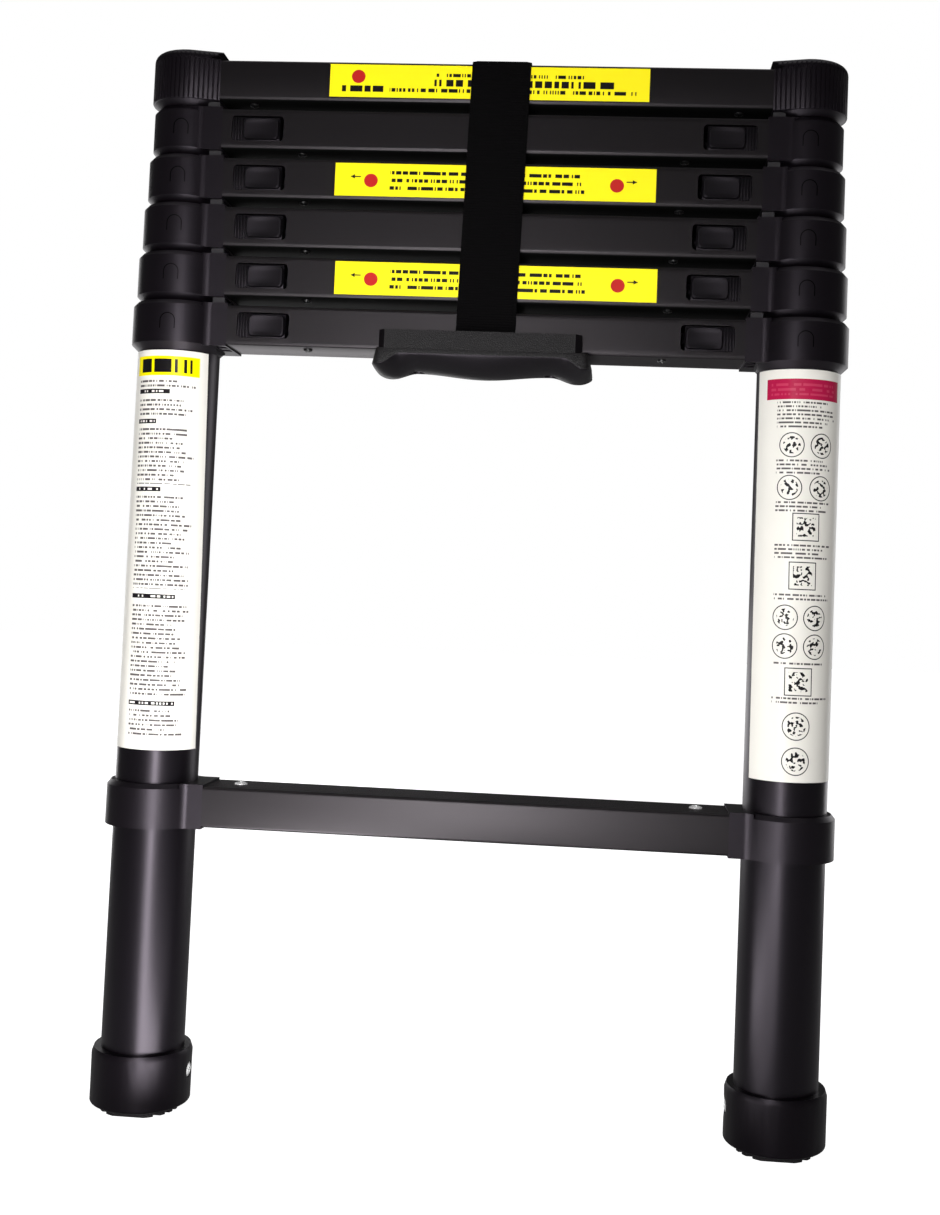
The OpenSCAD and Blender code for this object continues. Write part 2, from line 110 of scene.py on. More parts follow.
def addNoise(tree, place, scale, detail, roughness=0.5):
    return addNode(tree, "ShaderNodeTexNoise", {"Vector": place, "Scale": scale, "Detail": detail,
                                                "Roughness": roughness})


def splitAxes(tree, vector):
    return addNode(tree, "ShaderNodeSeparateXYZ", {0: vector}).outputs


def allOf(tree, mask, *others):
    for other in others:
        mask = addMath(tree, "MULTIPLY", mask, other)
    return mask


def objectPlace(tree):
    return addNode(tree, "ShaderNodeTexCoord").outputs["Object"]


def newGroup(name, inputs, outputs):
    group = bpy.data.node_groups.new(name, "ShaderNodeTree")
    for label, kind, value in inputs:
        group.interface.new_socket(label, in_out="INPUT", socket_type="NodeSocket" + kind).default_value = value
    for label, kind in outputs:
        group.interface.new_socket(label, in_out="OUTPUT", socket_type="NodeSocket" + kind)
    return group, group.nodes.new("NodeGroupInput").outputs, group.nodes.new("NodeGroupOutput").inputs


def placeGroup(tree, group, terms):
    return addNode(tree, "ShaderNodeGroup", terms, node_tree=group)


def gray(value):
    return (value, value, value, 1)


paintInputs = [("Base", "Color", gray(0.01)), ("Tint", "Color", gray(0.02)), ("Roughness", "Float", 0.4),
               ("Spread", "Float", 0.1)]
paintOutputs = [("Color", "Color"), ("Roughness", "Float"), ("Height", "Float")]


def paintBy(group, given, result, mask, height):
    group.links.new(addMix(group, mask, given["Base"], given["Tint"]), result["Color"])
    off = addMath(group, "SUBTRACT", mask, 0.5)
    group.links.new(addMath(group, "MULTIPLY_ADD", off, given["Spread"], given["Roughness"]), result["Roughness"])
    group.links.new(height, result["Height"])
    return group


def makeGrain():
    group, given, result = newGroup(
        "mouldedGrain", paintInputs + [("Grain Scale", "Float", 1400.0), ("Mottle Scale", "Float", 26.0)],
        paintOutputs)
    place, fineShare = objectPlace(group), 0.35
    fine = addNoise(group, place, given["Grain Scale"], 2.0).outputs[0]
    broad = addNoise(group, place, given["Mottle Scale"], 4.0, 0.6).outputs[0]
    both = addMath(group, "MULTIPLY_ADD", fine, fineShare, addMath(group, "MULTIPLY", broad, 1 - fineShare))
    return paintBy(group, given, result, both, fine)


def makeDrawnLines():
    group, given, result = newGroup("drawnLines", paintInputs + [("Stretch", "Vector", (12.0, 900.0, 900.0))],
                                    paintOutputs)
    place, lineShare = objectPlace(group), 0.92
    lines = addNoise(group, addVector(group, "MULTIPLY", place, given["Stretch"]), 1.0, 3.0, 0.65).outputs[0]
    cloud = addNoise(group, place, 45.0, 3.0).outputs[0]
    both = addMath(group, "MULTIPLY_ADD", lines, lineShare, addMath(group, "MULTIPLY", cloud, 1 - lineShare))
    return paintBy(group, given, result, both, lines)


leatherLook = {"cells": 900.0, "bendScale": 700.0, "bend": (0.0008,) * 3, "crackWidth": 0.22}


def makeLeather():
    group, given, result = newGroup(
        "leatherGrain", [("Base", "Color", gray(0.02)), ("Crack", "Color", gray(0.01))],
        [("Color", "Color"), ("Height", "Float")])
    place = objectPlace(group)
    bent = addNoise(group, place, leatherLook["bendScale"], 2.0).outputs["Color"]
    moved = addVector(group, "MULTIPLY_ADD", bent, leatherLook["bend"], place)
    cells = addNode(group, "ShaderNodeTexVoronoi", {"Vector": moved, "Scale": leatherLook["cells"]},
                    feature="DISTANCE_TO_EDGE").outputs["Distance"]
    height = addNode(group, "ShaderNodeMapRange", {"Value": cells, "From Min": 0.0,
                                                   "From Max": leatherLook["crackWidth"]}).outputs[0]
    group.links.new(addMix(group, height, given["Crack"], given["Base"]), result["Color"])
    group.links.new(height, result["Height"])
    return group


grain, leather, drawnLines = makeGrain(), makeLeather(), makeDrawnLines()


def newMaterial(name, sockets):
    material = bpy.data.materials.new(name)
    material.use_nodes = True
    shader = material.node_tree.nodes["Principled BSDF"]
    for key, value in sockets.items():
        shader.inputs[key].default_value = value
    return material, material.node_tree, shader


def addBump(tree, shader, height, strength, distance):
    bump = addNode(tree, "ShaderNodeBump", {"Strength": strength, "Distance": distance, "Height": height})
    tree.links.new(bump.outputs[0], shader.inputs["Normal"])


def texturedMaterial(name, sockets, group, terms, bump, bumpDistance):
    material, tree, shader = newMaterial(name, sockets)
    made = placeGroup(tree, group, terms).outputs
    tree.links.new(made["Color"], shader.inputs["Base Color"])
    if "Roughness" in made:
        tree.links.new(made["Roughness"], shader.inputs["Roughness"])
    addBump(tree, shader, made["Height"], bump, bumpDistance)
    return material


def paintOf(look):
    return {"Base": look["base"], "Tint": look["tint"], "Roughness": look["roughness"], "Spread": look["spread"]}


def shineOf(look, tint):
    return {"Specular IOR Level": look.get("specular", 0.5), "Specular Tint": look.get("specTint", tint)}


def plasticMaterial(name, look):
    return texturedMaterial(name, shineOf(look, specTint), grain, {**paintOf(look), "Grain Scale": look["grainScale"]},
                            look["bump"], look["bumpDistance"])


def metalMaterial(name, look):
    return texturedMaterial(name, {**shineOf(look, gray(1)), "Metallic": look["metallic"]}, drawnLines,
                            {**paintOf(look), "Stretch": look["stretch"]}, look["bump"], 0.0001)


specTint = (0.97, 0.86, 1.0, 1)
blackPlastic = {"specular": 0.45, "base": (0.0013, 0.0008, 0.0015, 1), "tint": (0.0023, 0.0015, 0.0025, 1),
                "grainScale": 1500.0, "roughness": 0.40, "spread": 0.05, "bump": 0.22, "bumpDistance": 0.00012}
materials = {
    "tube_finish": metalMaterial("tubeBlack", {
        "base": (0.0014, 0.0010, 0.0017, 1), "tint": (0.0022, 0.0017, 0.0026, 1), "stretch": (700.0, 700.0, 9.0),
        "metallic": 0.05, "specular": 0.46, "specTint": specTint, "roughness": 0.33, "spread": 0.04, "bump": 0.10}),
    "rung_finish": metalMaterial("rungBlack", {
        "base": (0.0050, 0.0042, 0.0048, 1), "tint": (0.0075, 0.0064, 0.0072, 1), "stretch": (9.0, 800.0, 800.0),
        "metallic": 0.3, "specular": 0.53, "specTint": (1.0, 0.92, 0.98, 1), "roughness": 0.37, "spread": 0.05,
        "bump": 0.12}),
    "collar_plastic": plasticMaterial("collarPlastic", blackPlastic),
    "cap_plastic": plasticMaterial("capPlastic", {**blackPlastic, "specular": 0.36, "roughness": 0.45}),
    "foot_plastic": plasticMaterial("footPlastic", {
        **blackPlastic, "specular": 0.30, "roughness": 0.38, "grainScale": 1100.0}),
    "tread_rubber": plasticMaterial("treadRubber", {
        **blackPlastic, "base": gray(0.010), "tint": gray(0.018), "roughness": 0.7}),
    "latch_plastic": plasticMaterial("latchPlastic", {
        **blackPlastic, "base": (0.0018, 0.0016, 0.0020, 1), "tint": (0.0030, 0.0027, 0.0032, 1),
        "roughness": 0.46, "specular": 0.30}),
    "handle_plastic": texturedMaterial(
        "handlePlastic", {"Roughness": 0.55, "Specular IOR Level": 0.34}, leather,
        {"Base": (0.0090, 0.0078, 0.0086, 1), "Crack": (0.0022, 0.0018, 0.0022, 1)}, 0.55, 0.00022),
    "glide_plastic": plasticMaterial("glidePlastic", {
        **blackPlastic, "base": gray(0.20), "tint": gray(0.27), "roughness": 0.5}),
    "steel": metalMaterial("screwSteel", {
        "base": gray(0.80), "tint": gray(0.92), "stretch": (300.0, 300.0, 300.0), "metallic": 0.35,
        "roughness": 0.26, "spread": 0.14, "bump": 0.05}),
    "strap_web": plasticMaterial("strapWeb", {
        **blackPlastic, "base": gray(0.0010), "tint": gray(0.0022), "roughness": 0.85, "specular": 0.06,
        "spread": 0.1}),
    "band_film": plasticMaterial("bandFilm", {
        **blackPlastic, "base": (1.0, 0.88, 0.0, 1), "tint": (1.0, 0.90, 0.005, 1), "roughness": 0.3}),
    "label_film": plasticMaterial("labelFilm", {
        **blackPlastic, "base": (0.86, 0.83, 0.78, 1), "tint": (0.91, 0.89, 0.84, 1), "roughness": 0.35}),
}


# printed films: neutral marks only
def makeTextRows():
    group, given, result = newGroup(
        "textRows",
        [("Place", "Vector", (0, 0, 0)), ("Start", "Float", 0.0), ("End", "Float", 10.0), ("Pitch", "Float", 3.0),
         ("Fill", "Float", 0.45), ("Left", "Float", 5.0), ("Right", "Float", 50.0), ("Ragged", "Float", 12.0),
         ("Cell", "Float", 0.8), ("Gap", "Float", 0.25)],
        [("Mask", "Float")])
    across, down = splitAxes(group, given["Place"])[:2]
    line = addMath(group, "DIVIDE", addMath(group, "SUBTRACT", down, given["Start"]), given["Pitch"])
    row = addMath(group, "FLOOR", line)
    inside = addMath(group, "LESS_THAN", addMath(group, "FRACT", line), given["Fill"])
    seed = addMath(group, "ADD", row, given["Start"])
    ends = addNode(group, "ShaderNodeTexWhiteNoise", {"W": seed}, noise_dimensions="1D").outputs["Value"]
    stop = addMath(group, "SUBTRACT", given["Right"], addMath(group, "MULTIPLY", ends, given["Ragged"]))
    cell = addMath(group, "FLOOR", addMath(group, "DIVIDE", across, given["Cell"]))
    spot = addNode(group, "ShaderNodeCombineXYZ", {0: cell, 1: seed}).outputs[0]
    word = addNode(group, "ShaderNodeTexWhiteNoise", {"Vector": spot}, noise_dimensions="2D").outputs["Value"]
    mask = allOf(group, inside, addMath(group, "GREATER_THAN", across, given["Left"]),
                 addMath(group, "LESS_THAN", across, stop), addMath(group, "GREATER_THAN", down, given["Start"]),
                 addMath(group, "LESS_THAN", down, given["End"]), addMath(group, "GREATER_THAN", word, given["Gap"]))
    group.links.new(mask, result["Mask"])
    return group


iconLook = {"blotScale": 0.42, "blotLevel": 0.53, "inner": 0.72}
arrowLook = {"shaftHalf": 0.35, "headSlope": 0.55, "headLength": 2.6}


def makeIconMark():
    group, given, result = newGroup(
        "iconMark",
        [("Place", "Vector", (0, 0, 0)), ("Centre", "Vector", (0, 0, 0)), ("Size", "Float", 7.5),
         ("Line", "Float", 0.3), ("Square", "Float", 0.0), ("Filled", "Float", 0.0)],
        [("Mask", "Float")])
    off = addVector(group, "SUBTRACT", given["Place"], given["Centre"])
    far = addVector(group, "LENGTH", off, output="Value")
    split = splitAxes(group, addVector(group, "ABSOLUTE", off))
    boxy = addMath(group, "MAXIMUM", split[0], split[1])
    reach = addMath(group, "ADD", addMath(group, "MULTIPLY", boxy, given["Square"]),
                    addMath(group, "MULTIPLY", far, addMath(group, "SUBTRACT", 1.0, given["Square"])))
    rim = addMath(group, "LESS_THAN",
                  addMath(group, "ABSOLUTE", addMath(group, "SUBTRACT", reach, given["Size"])), given["Line"])
    blots = addNoise(group, given["Place"], iconLook["blotScale"], 1.0).outputs[0]
    dark = addMath(group, "GREATER_THAN", blots, iconLook["blotLevel"])
    within = addMath(group, "LESS_THAN", reach, addMath(group, "MULTIPLY", given["Size"], iconLook["inner"]))
    disc = addMath(group, "MULTIPLY", addMath(group, "LESS_THAN", reach, given["Size"]), given["Filled"])
    shape = addMath(group, "MAXIMUM", rim, addMath(group, "MULTIPLY", dark, within))
    group.links.new(addMath(group, "MAXIMUM", shape, disc), result["Mask"])
    return group


def makeArrowMark():
    group, given, result = newGroup(
        "arrowMark",
        [("Place", "Vector", (0, 0, 0)), ("Tip", "Vector", (0, 0, 0)), ("Length", "Float", 7.0),
         ("Direction", "Float", 1.0)],
        [("Mask", "Float")])
    split = splitAxes(group, addVector(group, "SUBTRACT", given["Place"], given["Tip"]))
    back = addMath(group, "MULTIPLY", split[0], given["Direction"])
    side = addMath(group, "ABSOLUTE", split[1])
    ahead = addMath(group, "GREATER_THAN", back, 0.0)
    shaft = addMath(group, "MULTIPLY", addMath(group, "LESS_THAN", side, arrowLook["shaftHalf"]),
                    addMath(group, "LESS_THAN", back, given["Length"]))
    slope = addMath(group, "MULTIPLY", back, arrowLook["headSlope"])
    head = addMath(group, "MULTIPLY", addMath(group, "LESS_THAN", side, slope),
                   addMath(group, "LESS_THAN", back, arrowLook["headLength"]))
    group.links.new(addMath(group, "MULTIPLY", ahead, addMath(group, "MAXIMUM", shaft, head)), result["Mask"])
    return group


textRows, iconMark, arrowMark = makeTextRows(), makeIconMark(), makeArrowMark()
inkBlack = (0.006, 0.005, 0.006, 1)
yellow, crimson = (0.97, 0.82, 0.0, 1), (0.42, 0.010, 0.060, 1)
red, cream = (0.46, 0.010, 0.008, 1), (0.80, 0.775, 0.72, 1)


def printMaterial(name, size, ground, blocks, rows, icons, arrows, roughness):
    material, tree, shader = newMaterial(name, {"Coat Weight": 0.12, "Coat Roughness": 0.2,
                                                "Specular IOR Level": 0.16})
    flat = addNode(tree, "ShaderNodeUVMap", uv_map="film").outputs[0]
    place = addVector(tree, "MULTIPLY", flat, (size[0], size[1], 0))
    made = placeGroup(tree, grain, {"Base": ground, "Tint": tuple(c * 0.96 for c in ground[:3]) + (1,),
                                    "Grain Scale": 500.0, "Roughness": roughness, "Spread": 0.08}).outputs
    colour = made["Color"]
    across, down = splitAxes(tree, place)[:2]
    for left, right, top, bottom, paint in blocks:
        mask = allOf(tree, addMath(tree, "GREATER_THAN", across, left), addMath(tree, "LESS_THAN", across, right),
                     addMath(tree, "GREATER_THAN", down, top), addMath(tree, "LESS_THAN", down, bottom))
        colour = addMix(tree, mask, colour, paint)
    for group, marks in ((textRows, rows), (iconMark, icons), (arrowMark, arrows)):
        for terms, paint in marks:
            colour = addMix(tree, placeGroup(tree, group, {**terms, "Place": place}).outputs[0], colour, paint)
    tree.links.new(colour, shader.inputs["Base Color"])
    tree.links.new(made["Roughness"], shader.inputs["Roughness"])
    addBump(tree, shader, made["Height"], 0.05, 0.0001)
    return material


def rowsOf(start, end, left, right, ragged, pitch=3.05, fill=0.42, cell=0.75, gap=0.22):
    return {"Start": start, "End": end, "Left": left, "Right": right, "Ragged": ragged, "Pitch": pitch,
            "Fill": fill, "Cell": cell, "Gap": gap}


greyInk, labelSize, bandSize = (0.10, 0.09, 0.09, 1), (68.0, 248.0), (200.0, 21.0)
leftBlocks = [(17.0, 61.6, 3.8, 16.0, yellow)]
leftRows = [(rowsOf(5.6, 14.2, 21.9, 56.6, 0.0, 8.6, 0.99, 1.9, 0.16), inkBlack)]
for start, end in ((24.6, 43.0), (43.4, 34.7), (85.8, 38.6), (152.2, 48.9), (218.0, 50.0)):
    leftBlocks.append((20.0, end, start, start + 2.8, inkBlack))
    leftRows.append((rowsOf(start + 0.8, start + 2.0, 21.0, end - 1.0, 0.0, 1.2, 0.99, 1.0, 0.6), cream))
for start, end in ((19.0, 24.0), (31.0, 41.5), (49.2, 84.0), (91.5, 149.0), (159.0, 216.0), (223.5, 239.5)):
    leftRows.append((rowsOf(start, end, 20.5, 59.0, 14.0, 2.85, 0.46, 0.62, 0.30), greyInk))
rightIcons = [({"Centre": (across, down, 0), "Size": size, "Line": 0.3, "Square": square}, inkBlack)
              for across, down, size, square in (
                  (25.8, 46.0, 7.3, 0.0), (44.6, 46.0, 7.3, 0.0), (24.8, 71.8, 7.3, 0.0), (44.3, 71.8, 7.3, 0.0),
                  (35.3, 95.4, 8.1, 1.0), (33.7, 124.8, 8.1, 1.0), (23.7, 149.9, 7.3, 0.0), (42.0, 149.9, 7.3, 0.0),
                  (23.7, 167.1, 7.3, 0.0), (42.2, 167.1, 7.3, 0.0), (32.3, 188.2, 8.1, 1.0), (31.4, 214.7, 8.1, 0.0),
                  (31.4, 235.5, 8.1, 0.0))]
rightRows = [(rowsOf(start, end, 16.4, 55.0, 12.0, 2.45, 0.46, 0.62, 0.30), greyInk) for start, end in
             ((19.6, 36.6), (54.9, 63.4), (80.2, 86.4), (106.0, 114.4), (135.8, 139.4), (176.8, 178.8),
              (197.6, 202.2))]
rightRows.append((rowsOf(8.6, 15.8, 12.0, 55.0, 4.0, 3.0, 0.5, 1.1, 0.3), (0.50, 0.04, 0.10, 1)))
filmMaterials = {
    "left": printMaterial("labelLeft", labelSize, cream, leftBlocks, leftRows, [], [], 0.34),
    "right": printMaterial("labelRight", labelSize, cream, [(8.7, 58.6, 5.8, 18.3, crimson)], rightRows, rightIcons,
                           [], 0.34),
}
redDot = {"Size": 4.2, "Line": 0.1, "Filled": 1.0}
topBandRows = [(rowsOf(5.1, 7.3, 65.8, 160.0, 0.0, 2.2, 0.99, 0.8, 0.36), inkBlack),
               (rowsOf(9.0, 13.4, 66.0, 178.0, 0.0, 4.4, 0.99, 1.5, 0.28), inkBlack),
               (rowsOf(13.6, 17.6, 4.3, 34.0, 0.0, 4.0, 0.99, 1.3, 0.26), inkBlack),
               (rowsOf(14.9, 17.3, 38.0, 192.0, 0.0, 2.4, 0.99, 0.8, 0.34), inkBlack)]
midBandRows = [(rowsOf(4.6, 18.2, 34.6, 161.0, 8.0, 4.9, 0.46, 0.85, 0.34), inkBlack)]
filmMaterials["topBand"] = printMaterial(
    "bandTop", bandSize, yellow, [], topBandRows, [({**redDot, "Centre": (18.1, 7.8, 0)}, red)], [], 0.36)
filmMaterials["midBand"] = printMaterial(
    "bandMiddle", bandSize, yellow, [], midBandRows,
    [({**redDot, "Centre": (22.7, 11.0, 0)}, red), ({**redDot, "Centre": (176.0, 11.0, 0)}, red)],
    [({"Tip": (9.9, 8.6, 0), "Length": 6.4, "Direction": 1.0}, inkBlack),
     ({"Tip": (188.2, 8.6, 0), "Length": 6.4, "Direction": -1.0}, inkBlack)], 0.36)
print("materials made")


def addObject(name, data):
    made = bpy.data.objects.new(name, data)
    bpy.context.scene.collection.objects.link(made)
    return made


def meshOf(name, bm):
    mesh = bpy.data.meshes.new(name)
    bm.to_mesh(mesh)
    bm.free()
    return mesh


def faceOutward(bm, faces=None):
    bmesh.ops.recalc_face_normals(bm, faces=faces or bm.faces[:])


def shiftAll(bm, x, z):
    bmesh.ops.translate(bm, vec=(x, 0, z), verts=bm.verts[:])


def roundOff(bm, edges, width, segments=2, **settings):
    return bmesh.ops.bevel(bm, geom=edges, offset=width, segments=segments, profile=0.5, affect="EDGES", material=-1,
                           offset_type="OFFSET", **settings)


def addBox(bm, size, centre):
    box = bmesh.ops.create_cube(bm, size=1.0)["verts"]
    bmesh.ops.scale(bm, vec=size, verts=box)
    bmesh.ops.translate(bm, vec=centre, verts=box)
    return list({e for v in box for e in v.link_edges})


def addRod(bm, radius, near, far, y, segments):
    rod = bmesh.ops.create_cone(bm, cap_ends=True, segments=segments, radius1=radius, radius2=radius,
                                depth=far - near)["verts"]
    bmesh.ops.rotate(bm, cent=(0, 0, 0), matrix=Matrix.Rotation(pi / 2, 3, "Y"), verts=rod)
    bmesh.ops.translate(bm, vec=((near + far) / 2, y, 0), verts=rod)
    return rod


def freshOf(made):
    fresh = [g for g in made if isinstance(g, bmesh.types.BMVert)]
    known = set(fresh)
    return fresh, [g for g in made if isinstance(g, bmesh.types.BMEdge) and all(v in known for v in g.verts)]


def finishPiece(name, bm, body, nodes, slot, extra=(), sharpAngle=32.0, scaled=True):
    if scaled:
        bmesh.ops.scale(bm, vec=(toMetres,) * 3, verts=bm.verts[:])
    mesh = meshOf(name, bm)
    for material in (materials[slot], *extra):
        mesh.materials.append(material)
    mesh.polygons.foreach_set("use_smooth", [True] * len(mesh.polygons))
    mesh.set_sharp_from_angle(angle=radians(sharpAngle))
    piece = addObject(name, mesh)
    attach(piece, body)
    if nodes:
        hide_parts(*nodes)
    return piece


softLook = {"merge": 0.000004, "cleanAngle": 1.0, "edgeAngle": 28.0, "sharpAngle": 50.0}


def softenedCopy(node, name, slot, width, reshape=None, add=None, extra=()):
    source = frame["nodes"][node]
    bm = bmesh.new()
    bm.from_mesh(source.data)
    bmesh.ops.remove_doubles(bm, verts=bm.verts[:], dist=softLook["merge"])
    bmesh.ops.dissolve_limit(bm, angle_limit=radians(softLook["cleanAngle"]), verts=bm.verts[:],
                             edges=bm.edges[:])
    if reshape:
        reshape(bm)
    bend = radians(softLook["edgeAngle"])
    edges = [e for e in bm.edges if len(e.link_faces) == 2 and e.calc_face_angle(0) > bend]
    roundOff(bm, edges, width * toMetres, clamp_overlap=True)
    if add:
        add(bm)
    piece = finishPiece(name, bm, source["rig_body"], [node], slot, extra, scaled=False,
                        sharpAngle=softLook["sharpAngle"])
    weighted = piece.modifiers.new("evenShade", "WEIGHTED_NORMAL")
    weighted.weight, weighted.keep_sharp = 80, True
    return piece


# a darker, duller copy of the rung finish: painted shade on the undersides of rungs 1 to 5
rungUnderPaintedShade = metalMaterial("rungUnderPaintedShade", {
    "base": gray(0.004), "tint": gray(0.006), "stretch": (9.0, 800.0, 800.0), "metallic": 0.0, "roughness": 0.6,
    "specular": 0.02, "spread": 0.05, "bump": 0.1})
# a darker copy of the screw steel for the screws and springs under and inside the rungs: painted shade
steelPaintedShade = metalMaterial("screwPaintedShade", {
    "base": gray(0.10), "tint": gray(0.16), "stretch": (300.0, 300.0, 300.0), "metallic": 1.0, "roughness": 0.38,
    "spread": 0.1, "bump": 0.05})
for name, cadObject in frame["nodes"].items():
    cadObject.data.materials[0] = materials[cadObject.data.materials[0].name.split(".")[0]]
    # screws and springs take the darker copy as painted shade
    if name.startswith(("screws_", "spring_")):
        cadObject.data.materials[0] = steelPaintedShade

# rungs: a hollow bar with a grooved tread on top and the latch windows in front
rungLook = {"edge": 2.0, "edgeSteps": 4, "grooves": 13, "groovePitch": 2.4, "grooveWidth": 0.8, "grooveDepth": 0.45,
            "windowStart": 6.5, "windowLength": 33.0, "windowHalf": 8.0, "windowCorner": 2.6}


def cornerPoints(cy, cz, radius, start, steps):
    return [(cy + radius * cos(start + i * pi / 2 / steps), cz + radius * sin(start + i * pi / 2 / steps))
            for i in range(steps + 1)]


def rungOutline(halfDepth, halfHeight, radius, steps, grooved, marks):
    points = cornerPoints(halfDepth - radius, halfHeight - radius, radius, 0, steps)
    if grooved:
        first = (rungLook["grooves"] - 1) / 2
        w, d = rungLook["grooveWidth"] / 2, rungLook["grooveDepth"]
        for i in range(rungLook["grooves"]):
            y = (first - i) * rungLook["groovePitch"]
            points += [(y + w, halfHeight), (y + w * 0.5, halfHeight - d), (y - w * 0.5, halfHeight - d),
                       (y - w, halfHeight)]
    points += cornerPoints(-halfDepth + radius, halfHeight - radius, radius, pi / 2, steps)
    points += [(-halfDepth, mark) for mark in sorted(marks, reverse=True)]
    points += cornerPoints(-halfDepth + radius, -halfHeight + radius, radius, pi, steps)
    points += cornerPoints(halfDepth - radius, -halfHeight + radius, radius, 3 * pi / 2, steps)
    return points


def pullAlongX(bm, points, stations):
    ring = [bm.verts.new((stations[0], y, z)) for y, z in points]
    edges = [bm.edges.new((a, b)) for a, b in zip(ring, ring[1:] + ring[:1])]
    ends = [edges[:]]
    for a, b in zip(stations, stations[1:]):
        made = bmesh.ops.extrude_edge_only(bm, edges=edges)["geom"]
        moved, edges = freshOf(made)
        bmesh.ops.translate(bm, vec=(b - a, 0, 0), verts=moved)
    ends.append(edges)
    return ends


def makeRung(k):
    half = ladder["stileX"] - neckEnd(k)
    halfDepth, halfHeight, wall = ladder["rungDepth"] / 2, ladder["rungHeight"] / 2, ladder["rungWall"]
    windows = 2 <= k <= 6
    marks = (-rungLook["windowHalf"], rungLook["windowHalf"]) if windows else ()
    near = half - rungLook["windowStart"]
    far = near - rungLook["windowLength"]
    stations = [-half, -near, -far, far, near, half] if windows else [-half, half]
    bm = bmesh.new()
    outer = pullAlongX(bm, rungOutline(halfDepth, halfHeight, rungLook["edge"], rungLook["edgeSteps"], True, marks),
                       stations)
    inner = pullAlongX(bm, rungOutline(halfDepth - wall, halfHeight - wall, rungLook["edge"] - wall + 0.05, 2, False,
                                       marks), stations)
    for a, b in zip(outer, inner):
        bmesh.ops.bridge_loops(bm, edges=a + b)
    if windows:
        for s in (-1, 1):
            low, high = sorted((s * near, s * far))
            holes = [f for f in bm.faces if low < f.calc_center_median().x < high
                     and f.calc_center_median().y < -halfDepth + wall + 0.1
                     and abs(f.calc_center_median().z) < rungLook["windowHalf"] - 1]
            bmesh.ops.delete(bm, geom=holes, context="FACES")
            rim = [e for e in bm.edges if e.is_boundary]
            bmesh.ops.bridge_loops(bm, edges=rim)
        corners = [e for e in bm.edges if abs(abs(e.verts[0].co.z) - rungLook["windowHalf"]) < 0.01
                   and abs(e.verts[0].co.x - e.verts[1].co.x) < 0.01
                   and abs(e.verts[0].co.z - e.verts[1].co.z) < 0.01
                   and abs(e.verts[0].co.y - e.verts[1].co.y) > 1
                   and min(abs(abs(e.verts[0].co.x) - near), abs(abs(e.verts[0].co.x) - far)) < 0.01]
        roundOff(bm, corners, rungLook["windowCorner"], 4)
    faceOutward(bm)
    # the undersides of rungs 1 to 5 take the darker copy as painted shade in the gaps between the rungs
    if k < 6:
        for face in bm.faces:
            face.material_index = 1 if abs(face.normal.z) > 0.95 and face.calc_center_median().z < 0 else 0
    shiftAll(bm, 0, rungHeightAt(k))
    finishPiece("rungBar%d" % k, bm, bodyOf(k), ["rung_%d" % k], "rung_finish", [rungUnderPaintedShade] if k < 6 else [])


for k in range(1, 8):
    makeRung(k)
print("rungs done")

# collars: each with a near-black arch line on its front, painted shade standing for the arch groove, and two small
# blocks that carry the collar above
collarLook = {"soft": 0.35, "blockFront": 17.0, "blockEdge": (18.9, 19.5), "blockReach": 8.3, "archRadius": 4.6,
              "archDrop": 5.0, "archLine": 0.55, "archProud": 0.07, "archRoot": -0.3, "archSteps": 14,
              "neckHalf": 13.6, "clearHalf": (7.0, 6.0), "clearDepth": 1.5}
blockGrey = plasticMaterial("blockGrey", {**blackPlastic, "base": gray(0.016), "tint": gray(0.030), "roughness": 0.5})
# near-black, dull strip material: painted shade of the arch groove
archGroovePaintedShade = plasticMaterial("archGroovePaintedShade", {**blackPlastic, "base": gray(0.0004), "tint": gray(0.0008), "specular": 0.03,
                                        "roughness": 0.8})


def plainFront(bm, axis, middle, ringRadius):
    front, (wide, high) = collarLook["clearDepth"] - ringRadius, collarLook["clearHalf"]
    near = [v for v in bm.verts if abs(v.co.x / toMetres - axis) < wide and v.co.y / toMetres < front]
    cut = [v for v in near if abs(v.co.z / toMetres - middle) < high]
    bmesh.ops.delete(bm, geom=cut, context="VERTS")
    edges = [e for e in bm.edges if e.is_boundary]
    level = [e for e in edges if abs(e.verts[0].co.z - e.verts[1].co.z) < 0.00005]
    level.sort(key=lambda e: e.verts[0].co.x + e.verts[1].co.x)
    upper = [e for e in level if e.verts[0].co.z / toMetres > middle]
    lower = [e for e in level if e.verts[0].co.z / toMetres < middle]
    for above, below in zip(upper, lower):
        a, b = sorted(above.verts, key=lambda v: v.co.x)
        c, d = sorted(below.verts, key=lambda v: v.co.x)
        bm.faces.new((c, d, b, a))


def reshapeCollar(k):
    look = collarLook
    top = rungHeightAt(k) + look["neckHalf"]
    ringRadius = tubeSize(k) / 2 + ladder["ringWall"]
    blockEnd = neckEnd(k - 1)

    def reshape(bm):
        for vert in bm.verts:
            x, y, z = vert.co / toMetres
            reach = ladder["stileX"] - abs(x)
            if (z > top - 0.05 and look["blockEdge"][0] < abs(y) < look["blockEdge"][1]
                    and blockEnd - look["blockReach"] < reach < blockEnd):
                vert.co.y = look["blockFront"] * toMetres * (1 if y > 0 else -1)
        for side in (-1, 1):
            plainFront(bm, side * ladder["stileX"], rungHeightAt(k), ringRadius)
        faceOutward(bm)
    return reshape


